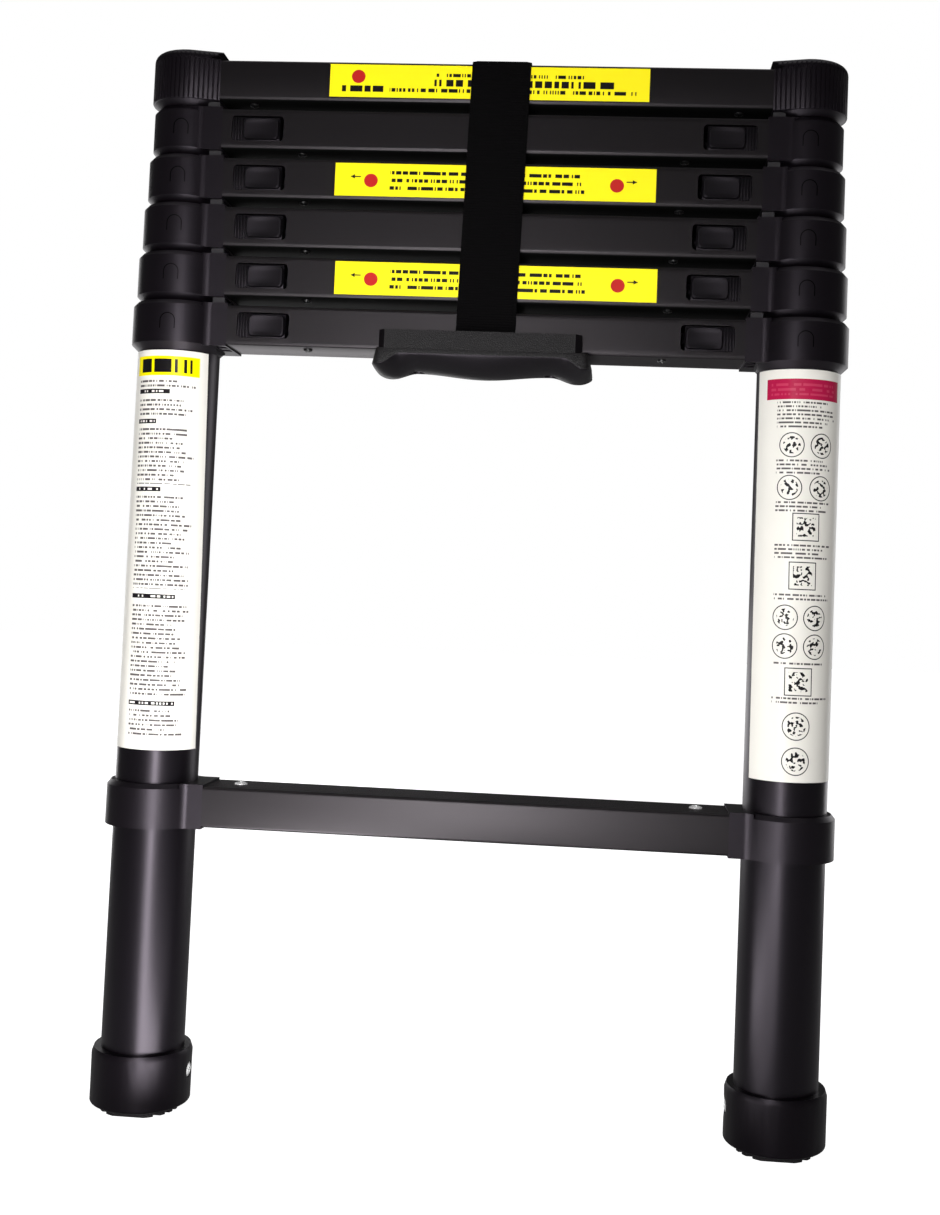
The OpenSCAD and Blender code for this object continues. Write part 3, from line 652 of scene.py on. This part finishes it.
def archLines(k):
    look = collarLook
    ringRadius = tubeSize(k) / 2 + ladder["ringWall"]
    top = rungHeightAt(k) + look["neckHalf"] + 0.1

    def add(bm):
        for face in bm.faces:
            centre = face.calc_center_median() / toMetres
            if centre.z > top and abs(centre.y) > 12.0:
                face.material_index = 1
        # a thin proud strip along the arch, drawn in the near-black material as painted shade of the groove
        middle = [(look["archRadius"], -look["archDrop"], 1.0, 0.0)]
        for i in range(look["archSteps"] + 1):
            a = pi * i / look["archSteps"]
            middle.append((look["archRadius"] * cos(a), look["archRadius"] * sin(a), cos(a), sin(a)))
        middle.append((-look["archRadius"], -look["archDrop"], -1.0, 0.0))
        half = look["archLine"] / 2
        for side in (-1, 1):
            strips = []
            for u, w, nu, nw in middle:
                row = []
                for off, proud in ((-half, look["archRoot"]), (-half, look["archProud"]), (half, look["archProud"]),
                                   (half, look["archRoot"])):
                    angle = -pi / 2 + (u + nu * off) / ringRadius
                    reach = ringRadius + proud
                    row.append(bm.verts.new(Vector((side * ladder["stileX"] + reach * cos(angle), reach * sin(angle),
                                                    rungHeightAt(k) + w + nw * off)) * toMetres))
                strips.append(row)
            made = [bm.faces.new(strips[0]), bm.faces.new(strips[-1][::-1])]
            for a, b in zip(strips, strips[1:]):
                made += [bm.faces.new((a[i], b[i], b[(i + 1) % 4], a[(i + 1) % 4])) for i in range(4)]
            faceOutward(bm, made)
            for face in made:
                face.material_index = 2
    return add


for k in range(2, 7):
    softenedCopy("collars_%d" % k, "collarPair%d" % k, "collar_plastic", collarLook["soft"],
                 reshape=reshapeCollar(k), add=archLines(k), extra=[blockGrey, archGroovePaintedShade])
softenedCopy("collars_7", "collarPair7", "collar_plastic", collarLook["soft"])
print("collars done")


# top caps: a ribbed wall that runs straight from its round end to the neck
capLook = {"radius": 24.8, "top": 18.5, "round": 5.0, "low": -13.0, "slope": 4.7, "ribPitch": 2.85, "grooveHalf": 0.5,
           "grooveDepth": 0.45, "lipLow": -17.2, "lipIn": 4.4, "lipHole": 17.1, "arcSteps": 6, "over": 6.0,
           "turns": 72}


def capOutline(inset, ribbed, endX):
    radius, half = capLook["radius"] - inset, ladder["rungDepth"] / 2 - inset
    far = hypot(endX, half)
    tangent = atan2(half, endX) + acos(radius / far)
    flank = sqrt(far * far - radius * radius)
    arc = radius * (pi - tangent)
    whole = flank + arc
    marks = []
    count = int(whole / capLook["ribPitch"])
    for i in range(count):
        middle = whole - (i + 0.5) * whole / count
        w = capLook["grooveHalf"]
        for shift, depth in ((w, 0), (w * 0.55, 1), (-w * 0.55, 1), (-w, 0)):
            marks.append((middle - shift, depth))
    points = []
    for s, depth in [(0.0, 0)] + sorted(marks):
        cutIn = depth * ribbed * capLook["grooveDepth"]
        if s < flank:
            share = s / flank
            tx, ty = radius * cos(tangent), radius * sin(tangent)
            x, y = endX + (tx - endX) * share, half + (ty - half) * share
            points.append((x - cutIn * cos(tangent), y - cutIn * sin(tangent)))
        else:
            angle = tangent + (s - flank) / radius
            points.append(((radius - cutIn) * cos(angle), (radius - cutIn) * sin(angle)))
    points.append((-radius, 0.0))
    return points + [(x, -y) for x, y in reversed(points[:-1])]


def makeTopCaps():
    look = capLook
    end = neckEnd(1)
    levels = [(0.9, look["low"] - 0.6, 0, end), (0.35, look["low"] - 0.3, 0, end), (0.0, look["low"] + 0.3, 1, end),
              (0.0, 12.45, 1, end), (0.0, 12.55, 1, end + look["slope"])]
    levels.append((0.0, look["top"] - look["round"], 1, end + look["slope"] * look["round"] / look["over"]))
    for i in range(1, look["arcSteps"] + 1):
        a = i / look["arcSteps"] * pi / 2
        z = look["top"] - look["round"] * (1 - sin(a))
        levels.append((look["round"] * (1 - cos(a)), z, max(0.0, 1 - i / 3),
                       end + look["slope"] * (look["top"] - z) / look["over"]))
    bm = bmesh.new()
    ring = [bm.verts.new((x, y, levels[0][1])) for x, y in capOutline(levels[0][0], *levels[0][2:])]
    edges = [bm.edges.new((a, b)) for a, b in zip(ring, ring[1:] + ring[:1])]
    bm.faces.new(ring)
    for inset, z, ribbed, endX in levels[1:]:
        order = {v: i for i, v in enumerate(ring)}
        made = bmesh.ops.extrude_edge_only(bm, edges=edges)["geom"]
        fresh, edges = freshOf(made)
        linked = {}
        for vert in fresh:
            for edge in vert.link_edges:
                other = edge.other_vert(vert)
                if other in order:
                    linked[order[other]] = vert
        ring = [linked[i] for i in range(len(order))]
        for vert, (x, y) in zip(ring, capOutline(inset, ribbed, endX)):
            vert.co = Vector((x, y, z))
    bm.faces.new(ring)
    lip = [(look["lipHole"], look["low"]), (look["lipHole"], look["lipLow"]),
           (look["radius"] - look["lipIn"] - 0.5, look["lipLow"]),
           (look["radius"] - look["lipIn"], look["lipLow"] + 0.4), (look["radius"] - 0.6, look["low"] - 0.3),
           (look["radius"] - 1.0, look["low"])]
    line = [bm.verts.new((r, 0, z)) for r, z in lip]
    wires = [bm.edges.new((a, b)) for a, b in zip(line, line[1:] + line[:1])]
    bmesh.ops.spin(bm, geom=line + wires, cent=(0, 0, 0), axis=(0, 0, 1), angle=2 * pi, steps=look["turns"],
                   use_merge=True)
    bmesh.ops.remove_doubles(bm, verts=bm.verts[:], dist=0.0005)
    faceOutward(bm)
    shiftAll(bm, -ladder["stileX"], rungHeightAt(1))
    addMirror(bm)
    finishPiece("topCapPair", bm, "section_1", ["top_caps"], "cap_plastic", sharpAngle=38)


def addMirror(bm):
    copied = bmesh.ops.duplicate(bm, geom=bm.verts[:] + bm.edges[:] + bm.faces[:])["geom"]
    bmesh.ops.scale(bm, vec=(-1, 1, 1), verts=[g for g in copied if isinstance(g, bmesh.types.BMVert)])
    bmesh.ops.reverse_faces(bm, faces=[g for g in copied if isinstance(g, bmesh.types.BMFace)])


makeTopCaps()
# feet: straight cups with a tight lower edge
footLook = {"soft": 0.4, "cadRadius": 30.8, "cadTaper": 0.9, "cadEdge": 4.0, "floor": 4.3, "height": 38.0,
            "rimDrop": 3.6, "radius": 30.7, "edge": 1.5, "screwAt": 21.0, "screwReach": 5.2, "screwLift": 3.0,
            "underStack": 40.0}


def straightFeet(bm):
    look = footLook
    lowRadius = look["cadRadius"] - look["cadTaper"]
    bend = look["floor"] + look["cadEdge"]
    for vert in bm.verts:
        x, y, z = vert.co / toMetres
        axis = ladder["stileX"] * (1 if x > 0 else -1)
        reach = hypot(x - axis, y)
        if abs(z - look["screwAt"]) < look["screwReach"] and abs(y) < look["screwReach"] and abs(x) < ladder["stileX"]:
            if reach > ladder["bottomTube"] / 2:
                vert.co.z = (z + look["screwLift"]) * toMetres
            continue
        if z > look["height"] - look["rimDrop"] - 0.1 or reach < lowRadius - look["cadEdge"] - 0.2:
            continue
        if z > bend - 0.05:
            outer = lowRadius + look["cadTaper"] * (z - bend) / (look["height"] - look["rimDrop"] - bend)
            if reach < outer - 0.2:
                continue
            target, newZ = look["radius"], z
            if z < bend + 0.05:
                newZ = look["floor"] + look["edge"]
        else:
            a = atan2(z - bend, reach - (lowRadius - look["cadEdge"]))
            target = look["radius"] - look["edge"] + look["edge"] * cos(a)
            newZ = look["floor"] + look["edge"] + look["edge"] * sin(a)
        vert.co = Vector((axis + (x - axis) * target / reach, y * target / reach, newZ)) * toMetres


softenedCopy("feet", "footPair", "foot_plastic", footLook["soft"], reshape=straightFeet)
softenedCopy("foot_treads", "treadPair", "tread_rubber", 0.3)


# screws of the base: silver in the bottom rung, a lighter copy with painted sheen in the feet, and a darker copy with
# painted shade under the stack
def placeScrews(bm):
    for vert in bm.verts:
        if vert.co.z / toMetres < footLook["height"]:
            vert.co.z += footLook["screwLift"] * toMetres


def paintScrews(bm):
    for face in bm.faces:
        height = face.calc_center_median().z / toMetres
        underStack = height > rungHeightAt(6) - footLook["underStack"]
        # darker copy as painted shade under the stack, lighter copy as painted sheen in the feet
        face.material_index = 1 if underStack else 2 if height < footLook["height"] else 0


# a lighter, nearly non-metallic copy of the screw steel for the feet: painted sheen
footSteelPaintedSheen = metalMaterial("footScrewPaintedSheen", {
    "base": gray(0.90), "tint": gray(0.98), "stretch": (300.0, 300.0, 300.0), "metallic": 0.1, "roughness": 0.3,
    "spread": 0.14, "bump": 0.05})
softenedCopy("base_screws", "baseScrews", "steel", 0.12, reshape=placeScrews, add=paintScrews,
             extra=[steelPaintedShade, footSteelPaintedSheen])

# thumb latches: a dished pad with three ribs at its outer end, and the lock pin
latchLook = {"start": 3.0, "padStart": 13.4, "end": 36.7, "halfHeight": 7.7, "proud": 0.65, "dish": 1.15,
             "corner": 3.0, "edge": 0.4, "ribStart": 7.1, "ribStep": 1.8, "ribCount": 4, "ribSize": (1.0, 1.7),
             "ribEdge": 0.35, "padRise": 2.3, "padRim": 1.3, "steps": (56, 18), "pin": 6.0, "pinInside": 4.0,
             "back": 6.0, "split": -9.8, "carriageEnd": 34.0, "spigot": 2.9, "spigotLength": 4.0, "springY": -4.75}


def makeLatch(k, side):
    look = latchLook
    front = -ladder["rungDepth"] / 2
    skin = front + ladder["rungWall"] + ladder["runGap"]
    bm = bmesh.new()
    for end, near, far in ((look["end"], skin, look["split"]),
                           (look["carriageEnd"], look["split"] - 0.5, look["back"])):
        length, depth = end - look["start"], far - near
        edges = addBox(bm, (length, depth, 2 * look["halfHeight"]), (look["start"] + length / 2, near + depth / 2, 0))
        roundOff(bm, edges, look["edge"])
    addRod(bm, look["spigot"], look["carriageEnd"] - 1.0, look["carriageEnd"] + look["spigotLength"],
           look["springY"], 24)
    # the ribs at the outer end
    for i in range(look["ribCount"]):
        edges = addBox(bm, (*look["ribSize"], 2 * look["halfHeight"] - 0.6),
                       (look["ribStart"] + i * look["ribStep"], skin - 0.35, 0))
        roundOff(bm, edges, look["ribEdge"])
    # the thumb pad, with round corners and a dished face
    nx, nz = look["steps"]
    padStart, padEnd, halfPad = look["padStart"], look["end"] - 0.1, look["halfHeight"] - 0.7
    grid = bmesh.ops.create_grid(bm, x_segments=nx, y_segments=nz, size=1.0)["verts"]
    middle, halfLength = (padStart + padEnd) / 2, (padEnd - padStart) / 2
    for vert in grid:
        u, v = vert.co.x, vert.co.y
        px, pz = u * halfLength, v * halfPad
        cx, cz = max(abs(px) - (halfLength - look["corner"]), 0), max(abs(pz) - (halfPad - look["corner"]), 0)
        reach = hypot(cx, cz)
        if reach > look["corner"]:
            px -= (1 if px > 0 else -1) * cx * (1 - look["corner"] / reach)
            pz -= (1 if pz > 0 else -1) * cz * (1 - look["corner"] / reach)
            reach = look["corner"]
        edge = min(look["corner"] - reach, look["padRim"]) / look["padRim"] if reach > 0 else 1.0
        crown = sqrt(max(0.0, 1 - (1 - min(edge, 1.0)) ** 2))
        bowl = look["dish"] * (1 - u * u) * (1 - v ** 4)
        lift = crown * (look["padRise"] + look["proud"]) - bowl * min(1.0, edge)
        vert.co = Vector((middle + px, skin + 0.5 - lift, pz))
    pinStart = tubeSize(k - 1) / 2 + ladder["runGap"] - neckEnd(k)
    pin = set(addRod(bm, look["pin"] / 2, pinStart, look["start"] + look["pinInside"], 0, 32))
    for face in bm.faces:
        if all(v in pin for v in face.verts):
            face.material_index = 1
    shiftAll(bm, neckEnd(k) - ladder["stileX"], rungHeightAt(k))
    if side == "right":
        bmesh.ops.scale(bm, vec=(-1, 1, 1), verts=bm.verts[:])
    faceOutward(bm)
    node = "latch_%d_%s" % (k, side)
    finishPiece("latch%d%s" % (k, side.capitalize()), bm, node, [node], "latch_plastic", [materials["steel"]])


for k in range(2, 7):
    for side in sides:
        makeLatch(k, side)

# carry handle: a saddle under the bottom rung of the stack
handleLook = {"width": 125.4, "lobe": 5.6, "plateShift": -1.2, "shoulder": 2.6, "fall": 6.5, "fallFrom": 50.0,
              "depth": 27.2, "plate": 4.0, "rise": 11.4, "crease": 3.2, "middleLow": 14.5, "dipLow": 11.5,
              "lobeLow": 15.4, "dipAt": 42.0, "lobeAt": 58.0, "round": 10.0, "endRound": 7.0, "rimAngle": 35.0,
              "rim": 0.45, "plateCut": 3.8, "steps": (120, 44), "wellSize": 4.5, "wellDeep": 3.0, "wellSlope": 0.8}


def creaseAt(x):
    look = handleLook
    t = min(max((abs(x) - look["fallFrom"]) / (look["width"] / 2 - look["fallFrom"]), 0.0), 1.0)
    return look["crease"] + look["fall"] * t * t * (3 - 2 * t)


def handleLow(x):
    look, x = handleLook, abs(x)
    half = look["width"] / 2 + look["lobe"]
    if x < look["dipAt"]:
        low = look["dipLow"] + (look["middleLow"] - look["dipLow"]) * (0.5 + 0.5 * cos(pi * x / look["dipAt"]))
    else:
        t = min((x - look["dipAt"]) / (look["lobeAt"] - look["dipAt"]), 1.0)
        low = look["dipLow"] + (look["lobeLow"] - look["dipLow"]) * (0.5 - 0.5 * cos(pi * t))
    if x > half - look["round"]:
        t = min((x - half + look["round"]) / look["round"], 1.0)
        low = creaseAt(x) + (low - creaseAt(x)) * sqrt(1 - t * t)
    return -low


def makeHandle():
    look = handleLook
    base = rungHeightAt(6) - ladder["rungHeight"] / 2 - 0.05
    half = look["width"] / 2 + look["lobe"]
    bm = bmesh.new()
    nx, ny = look["steps"]
    grid = bmesh.ops.create_grid(bm, x_segments=nx, y_segments=ny, size=1.0)["verts"]
    for vert in grid:
        u, v = vert.co.x, vert.co.y
        x = half * (u * 0.5 + 0.5 * sin(u * pi / 2))
        wide = look["depth"]
        if abs(x) > half - look["endRound"]:
            t = min((abs(x) - half) / look["endRound"] + 1, 1.0)
            wide -= look["endRound"] * (1 - sqrt(1 - t * t))
        deep = handleLow(x) + creaseAt(x)
        share = 1 - abs(v)
        z = -creaseAt(x) + deep * sin(share * pi / 2) ** 0.85
        if abs(abs(x) - look["dipAt"]) < look["wellSize"] and abs(v) < 0.16:
            reach = hypot(abs(x) - look["dipAt"], v * wide)
            z += look["wellDeep"] * max(0.0, min(1.0, (look["wellSize"] - reach) / look["wellSlope"]))
        vert.co = Vector((x, v * wide, z))
    edges = [e for e in bm.edges if e.is_boundary]
    made = bmesh.ops.extrude_edge_only(bm, edges=edges)["geom"]
    for vert in freshOf(made)[0]:
        t = min(max((abs(vert.co.x) - half) / look["endRound"] + 1, 0.0), 1.0)
        vert.co = Vector((vert.co.x - (1 if vert.co.x > 0 else -1) * look["shoulder"] * t * t, vert.co.y, 0.0))
    bmesh.ops.holes_fill(bm, edges=[e for e in bm.edges if e.is_boundary], sides=0)
    roundOff(bm, [e for e in bm.edges if e.calc_face_angle(0) > radians(look["rimAngle"])], look["rim"])
    # the grip below the crease and the flat faces take a smooth, darker copy of the handle plastic: the smooth finish
    # is real, the darker colour is painted shade
    for face in bm.faces:
        centre = face.calc_center_median()
        if centre.z < -creaseAt(centre.x) - 0.25 or abs(face.normal.z) > 0.5:
            face.material_index = 1
    for s in (-1, 1):
        height = look["rise"] + look["crease"] - 1.0
        every = addBox(bm, (look["width"], look["plate"], height),
                       (look["plateShift"], s * (look["depth"] - 0.06 - look["plate"] / 2), look["rise"] - height / 2))
        ends = [e for e in every if abs(e.verts[0].co.z - e.verts[1].co.z) > 1
                and s * e.verts[0].co.y > look["depth"] - 0.5]
        cut = roundOff(bm, ends, look["plateCut"], 1)
        for face in cut["faces"]:
            face.material_index = 1
    faceOutward(bm)
    shiftAll(bm, 0, base)
    return finishPiece("carryHandle", bm, "base", ["carry_handle"], "handle_plastic", [handleSmoothShaded], sharpAngle=30)


# smooth handle plastic, darker than the grained plate: real smooth finish with painted shade
handleSmoothShaded = plasticMaterial("handleSmoothShaded", {
    **blackPlastic, "base": (0.0020, 0.0016, 0.0021, 1), "tint": (0.0031, 0.0026, 0.0033, 1), "roughness": 0.40,
    "specular": 0.26, "grainScale": 700.0, "bump": 0.10})
makeHandle()
print("plastic parts done")

# strap: ribbed webbing over the top rung, both tails behind the handle's plates
strapLook = {"width": 36.8, "thickness": 1.9, "gap": 0.35, "ribPitch": 1.6, "ribHeight": 0.11, "perRib": 4,
             "across": 12, "corner": 2.3, "low": 480.0, "lean": 0.0193, "middle": 3.2, "leanFrom": 565.0}


def makeStrap():
    look = strapLook
    inner = ladder["rungDepth"] / 2 + look["gap"]
    top = rungHeightAt(1) + ladder["rungHeight"] / 2 + look["gap"]
    r = look["corner"]
    straight, over, arc = top - r - look["low"], 2 * (inner - r), r * pi / 2
    length = 2 * straight + over + 2 * arc
    count = int(length / look["ribPitch"]) * look["perRib"]
    bm = bmesh.new()
    grid = bmesh.ops.create_grid(bm, x_segments=look["across"], y_segments=count, size=1.0)["verts"]
    uvLayer = bm.loops.layers.uv.new("along")

    def pathPoint(t):
        if t < straight:
            return -inner, look["low"] + t, -1.0, 0.0
        t -= straight
        if t < arc:
            a = t / r
            return -inner + r - r * cos(a), top - r + r * sin(a), -cos(a), sin(a)
        t -= arc
        if t < over:
            return -inner + r + t, top, 0.0, 1.0
        t -= over
        if t < arc:
            a = t / r
            return inner - r + r * sin(a), top - r + r * cos(a), sin(a), cos(a)
        t -= arc
        return inner, top - r - t, 1.0, 0.0

    flat = {vert: (vert.co.x, vert.co.y) for vert in grid}
    for face in bm.faces:
        for loop in face.loops:
            u, v = flat[loop.vert]
            loop[uvLayer].uv = ((u + 1) / 2, (v + 1) / 2)
    for vert in grid:
        u, v = flat[vert]
        t = (v + 1) / 2 * length
        y, z, ny, nz = pathPoint(t)
        edge = max(0.0, (abs(u) - 0.93) / 0.07)
        bulge = look["thickness"] * (1 - 0.35 * edge * edge)
        rib = look["ribHeight"] * (cos(2 * pi * t / look["ribPitch"]) - 1) * (1 - edge)
        off = bulge + rib
        x = u * look["width"] / 2 + look["middle"] + look["lean"] * (min(z, 660) - look["leanFrom"])
        vert.co = Vector((x, y + ny * off, z + nz * off))
    outer = bm.faces[:]
    faceOutward(bm, outer)
    bmesh.ops.solidify(bm, geom=outer, thickness=look["thickness"] - 0.5)
    return finishPiece("strapWeb", bm, "strap", ["strap"], "strap_web", sharpAngle=60)


makeStrap()

# films: a label round each bottom tube and a band on three rungs
filmLook = {"thickness": 0.22, "labelWidth": 68.0, "labelHeight": 248.0, "labelTop": 471.0, "gap": 0.06,
            "turn": {"left": -7.3, "right": 7.8}, "twist": {"left": 16.6, "right": 7.3},
            "bandWidth": 200.0, "bandHeight": 20.7, "shift": {1: -3.0, 3: 3.2, 5: 6.0},
            "lift": {1: 0.35, 3: 0.0, 5: 0.2}}


def makeFilm(name, body, nodes, slot, material, steps, place):
    bm = bmesh.new()
    bmesh.ops.create_grid(bm, x_segments=steps, y_segments=max(1, steps // 4), size=0.5)
    uvLayer = bm.loops.layers.uv.new("film")
    for face in bm.faces:
        for loop in face.loops:
            loop[uvLayer].uv = (loop.vert.co.x + 0.5, 0.5 - loop.vert.co.y)
    for vert in bm.verts:
        vert.co = place(vert.co.x + 0.5, 0.5 - vert.co.y)
    faceOutward(bm)
    if sum(f.normal.y for f in bm.faces) > 0:
        bmesh.ops.reverse_faces(bm, faces=bm.faces[:])
    bmesh.ops.solidify(bm, geom=bm.faces[:], thickness=filmLook["thickness"])
    piece = finishPiece(name, bm, body, nodes, slot)
    piece.data.materials[0] = material
    return piece


def labelPlace(side):
    size = ladder["bottomTube"] / 2
    spread, outer = filmLook["labelWidth"] / size, size + filmLook["gap"] + filmLook["thickness"]
    middle, twist = radians(-90 + filmLook["turn"][side]), radians(filmLook["twist"][side])
    axis = ladder["stileX"] * (-1 if side == "left" else 1)

    def place(u, v):
        angle = middle + (u - 0.5) * spread + (v - 0.5) * twist
        return Vector((axis + outer * cos(angle), outer * sin(angle),
                       filmLook["labelTop"] - v * filmLook["labelHeight"]))
    return place


def bandPlace(k):
    front = -ladder["rungDepth"] / 2 - filmLook["gap"] - filmLook["thickness"]
    return lambda u, v: Vector(((u - 0.5) * filmLook["bandWidth"] + filmLook["shift"][k], front,
                                rungHeightAt(k) + filmLook["lift"][k] + (0.5 - v) * filmLook["bandHeight"]))


for side in sides:
    makeFilm("label" + side.capitalize(), "base", ["tube_labels"], "label_film", filmMaterials[side], 56,
             labelPlace(side))
for k in (1, 3, 5):
    makeFilm("band%d" % k, bodyOf(k), ["band_%d" % k], "band_film",
             filmMaterials["topBand" if k == 1 else "midBand"], 1, bandPlace(k))
print("films done")

# stage
stageLook = {"half": 7.0, "pale": 0.80, "bounce": 0.45, "glow": 0.93, "near": 0.35, "far": 1.2}


def makeStage():
    bm = bmesh.new()
    bmesh.ops.create_grid(bm, x_segments=1, y_segments=1, size=stageLook["half"])
    mesh = meshOf("studioFloor", bm)
    floor = addObject("studioFloor", mesh)
    material, tree, shader = newMaterial("palePaper", {"Roughness": 0.9, "Specular IOR Level": 0.0,
                                                       "Emission Color": (1, 1, 1, 1)})
    seen = addNode(tree, "ShaderNodeLightPath").outputs["Is Camera Ray"]
    tree.links.new(addMix(tree, seen, gray(stageLook["bounce"]), gray(stageLook["pale"])),
                   shader.inputs["Base Color"])
    place = objectPlace(tree)
    away = addVector(tree, "LENGTH", place, output="Value")
    fade = addNode(tree, "ShaderNodeMapRange", {"Value": away, "From Min": stageLook["near"],
                                                "From Max": stageLook["far"]},
                   interpolation_type="SMOOTHSTEP").outputs[0]
    lift = addMath(tree, "MULTIPLY_ADD", fade, 1 - stageLook["glow"], stageLook["glow"])
    tree.links.new(addMath(tree, "MULTIPLY", seen, lift), shader.inputs["Emission Strength"])
    mesh.materials.append(material)


makeStage()


def addLight(name, place, aim, width, height, power, colour=(1, 1, 1)):
    data = bpy.data.lights.new(name, "AREA")
    data.shape = "RECTANGLE"
    data.size, data.size_y, data.energy, data.color = width, height, power, colour
    light = addObject(name, data)
    light.location = place
    light.rotation_euler = (Vector(aim) - Vector(place)).to_track_quat("-Z", "Y").to_euler()
    light.visible_camera = False
    return light


# each light: where it is, what it faces, its width and height, its power and how wide it spreads
lights = {
    "frontBox": ((-0.061, -0.76, 0.28), (-0.196, 0.0, 0.28), 0.13, 0.54, 1.46, 95),
    "leftStrip": ((-0.128, -0.40, 0.010), (-0.128, -0.40, 1.0), 0.12, 0.66, 2.95, 180),
    "rightStrip": ((0.066, -0.40, 0.010), (0.066, -0.40, 1.0), 0.12, 0.66, 0.42, 180),
    "topPanel": ((0.0, 0.2, 2.6), (0.0, 0.0, 0.0), 2.4, 2.0, 10.0, 180),
    "lowCard": ((-0.62, 1.5, 0.14), (-0.12, 0.0, 0.30), 1.0, 0.28, 1.75, 180),
    "backLeft": ((-0.85, 0.85, 0.30), (-0.1, 0.0, 0.33), 0.5, 1.1, 3.0, 180),
    "backRight": ((0.85, 0.85, 0.30), (0.1, 0.0, 0.33), 0.5, 1.1, 3.0, 180),
    "softFill": ((0.15, -2.6, 1.1), (0.0, 0.0, 0.33), 2.0, 1.6, 36.0, 180),
}
for name, look in lights.items():
    light = addLight(name, *look[:5])
    light.data.spread = radians(look[5])
    light.visible_glossy = name != "softFill"
worldLook = {"seen": 1.0, "around": 0.075}
world = bpy.data.worlds.new("studioWorld")
bpy.context.scene.world = world
world.use_nodes = True
background = world.node_tree.nodes["Background"]
background.inputs[0].default_value = (1, 1, 1, 1)
seen = addNode(world.node_tree, "ShaderNodeLightPath").outputs["Is Camera Ray"]
strength = addMath(world.node_tree, "MULTIPLY_ADD", seen, worldLook["seen"] - worldLook["around"], worldLook["around"])
world.node_tree.links.new(strength, background.inputs[1])

# camera
cameraLook = {"place": (0.0802, -0.9084, 0.3283), "yaw": -0.0723, "pitch": 0.0488, "roll": 0.0422,
              "lens": 43.094, "shift": (-0.02498, -0.07029)}


def makeCamera():
    yaw, pitch, roll = cameraLook["yaw"], cameraLook["pitch"], cameraLook["roll"]
    ahead = Vector((sin(yaw) * cos(pitch), cos(yaw) * cos(pitch), sin(pitch)))
    level = Vector((cos(yaw), -sin(yaw), 0))
    rise = level.cross(ahead)
    right = cos(roll) * level + sin(roll) * rise
    up = cos(roll) * rise - sin(roll) * level
    data = bpy.data.cameras.new("camera")
    data.sensor_width, data.sensor_fit = 36.0, "AUTO"
    data.lens = cameraLook["lens"]
    data.shift_x, data.shift_y = cameraLook["shift"]
    camera = addObject("camera", data)
    camera.matrix_world = Matrix((right, up, -ahead)).transposed().to_4x4()
    camera.location = cameraLook["place"]
    bpy.context.scene.camera = camera


makeCamera()
bpy.context.scene.view_settings.view_transform = "Standard"
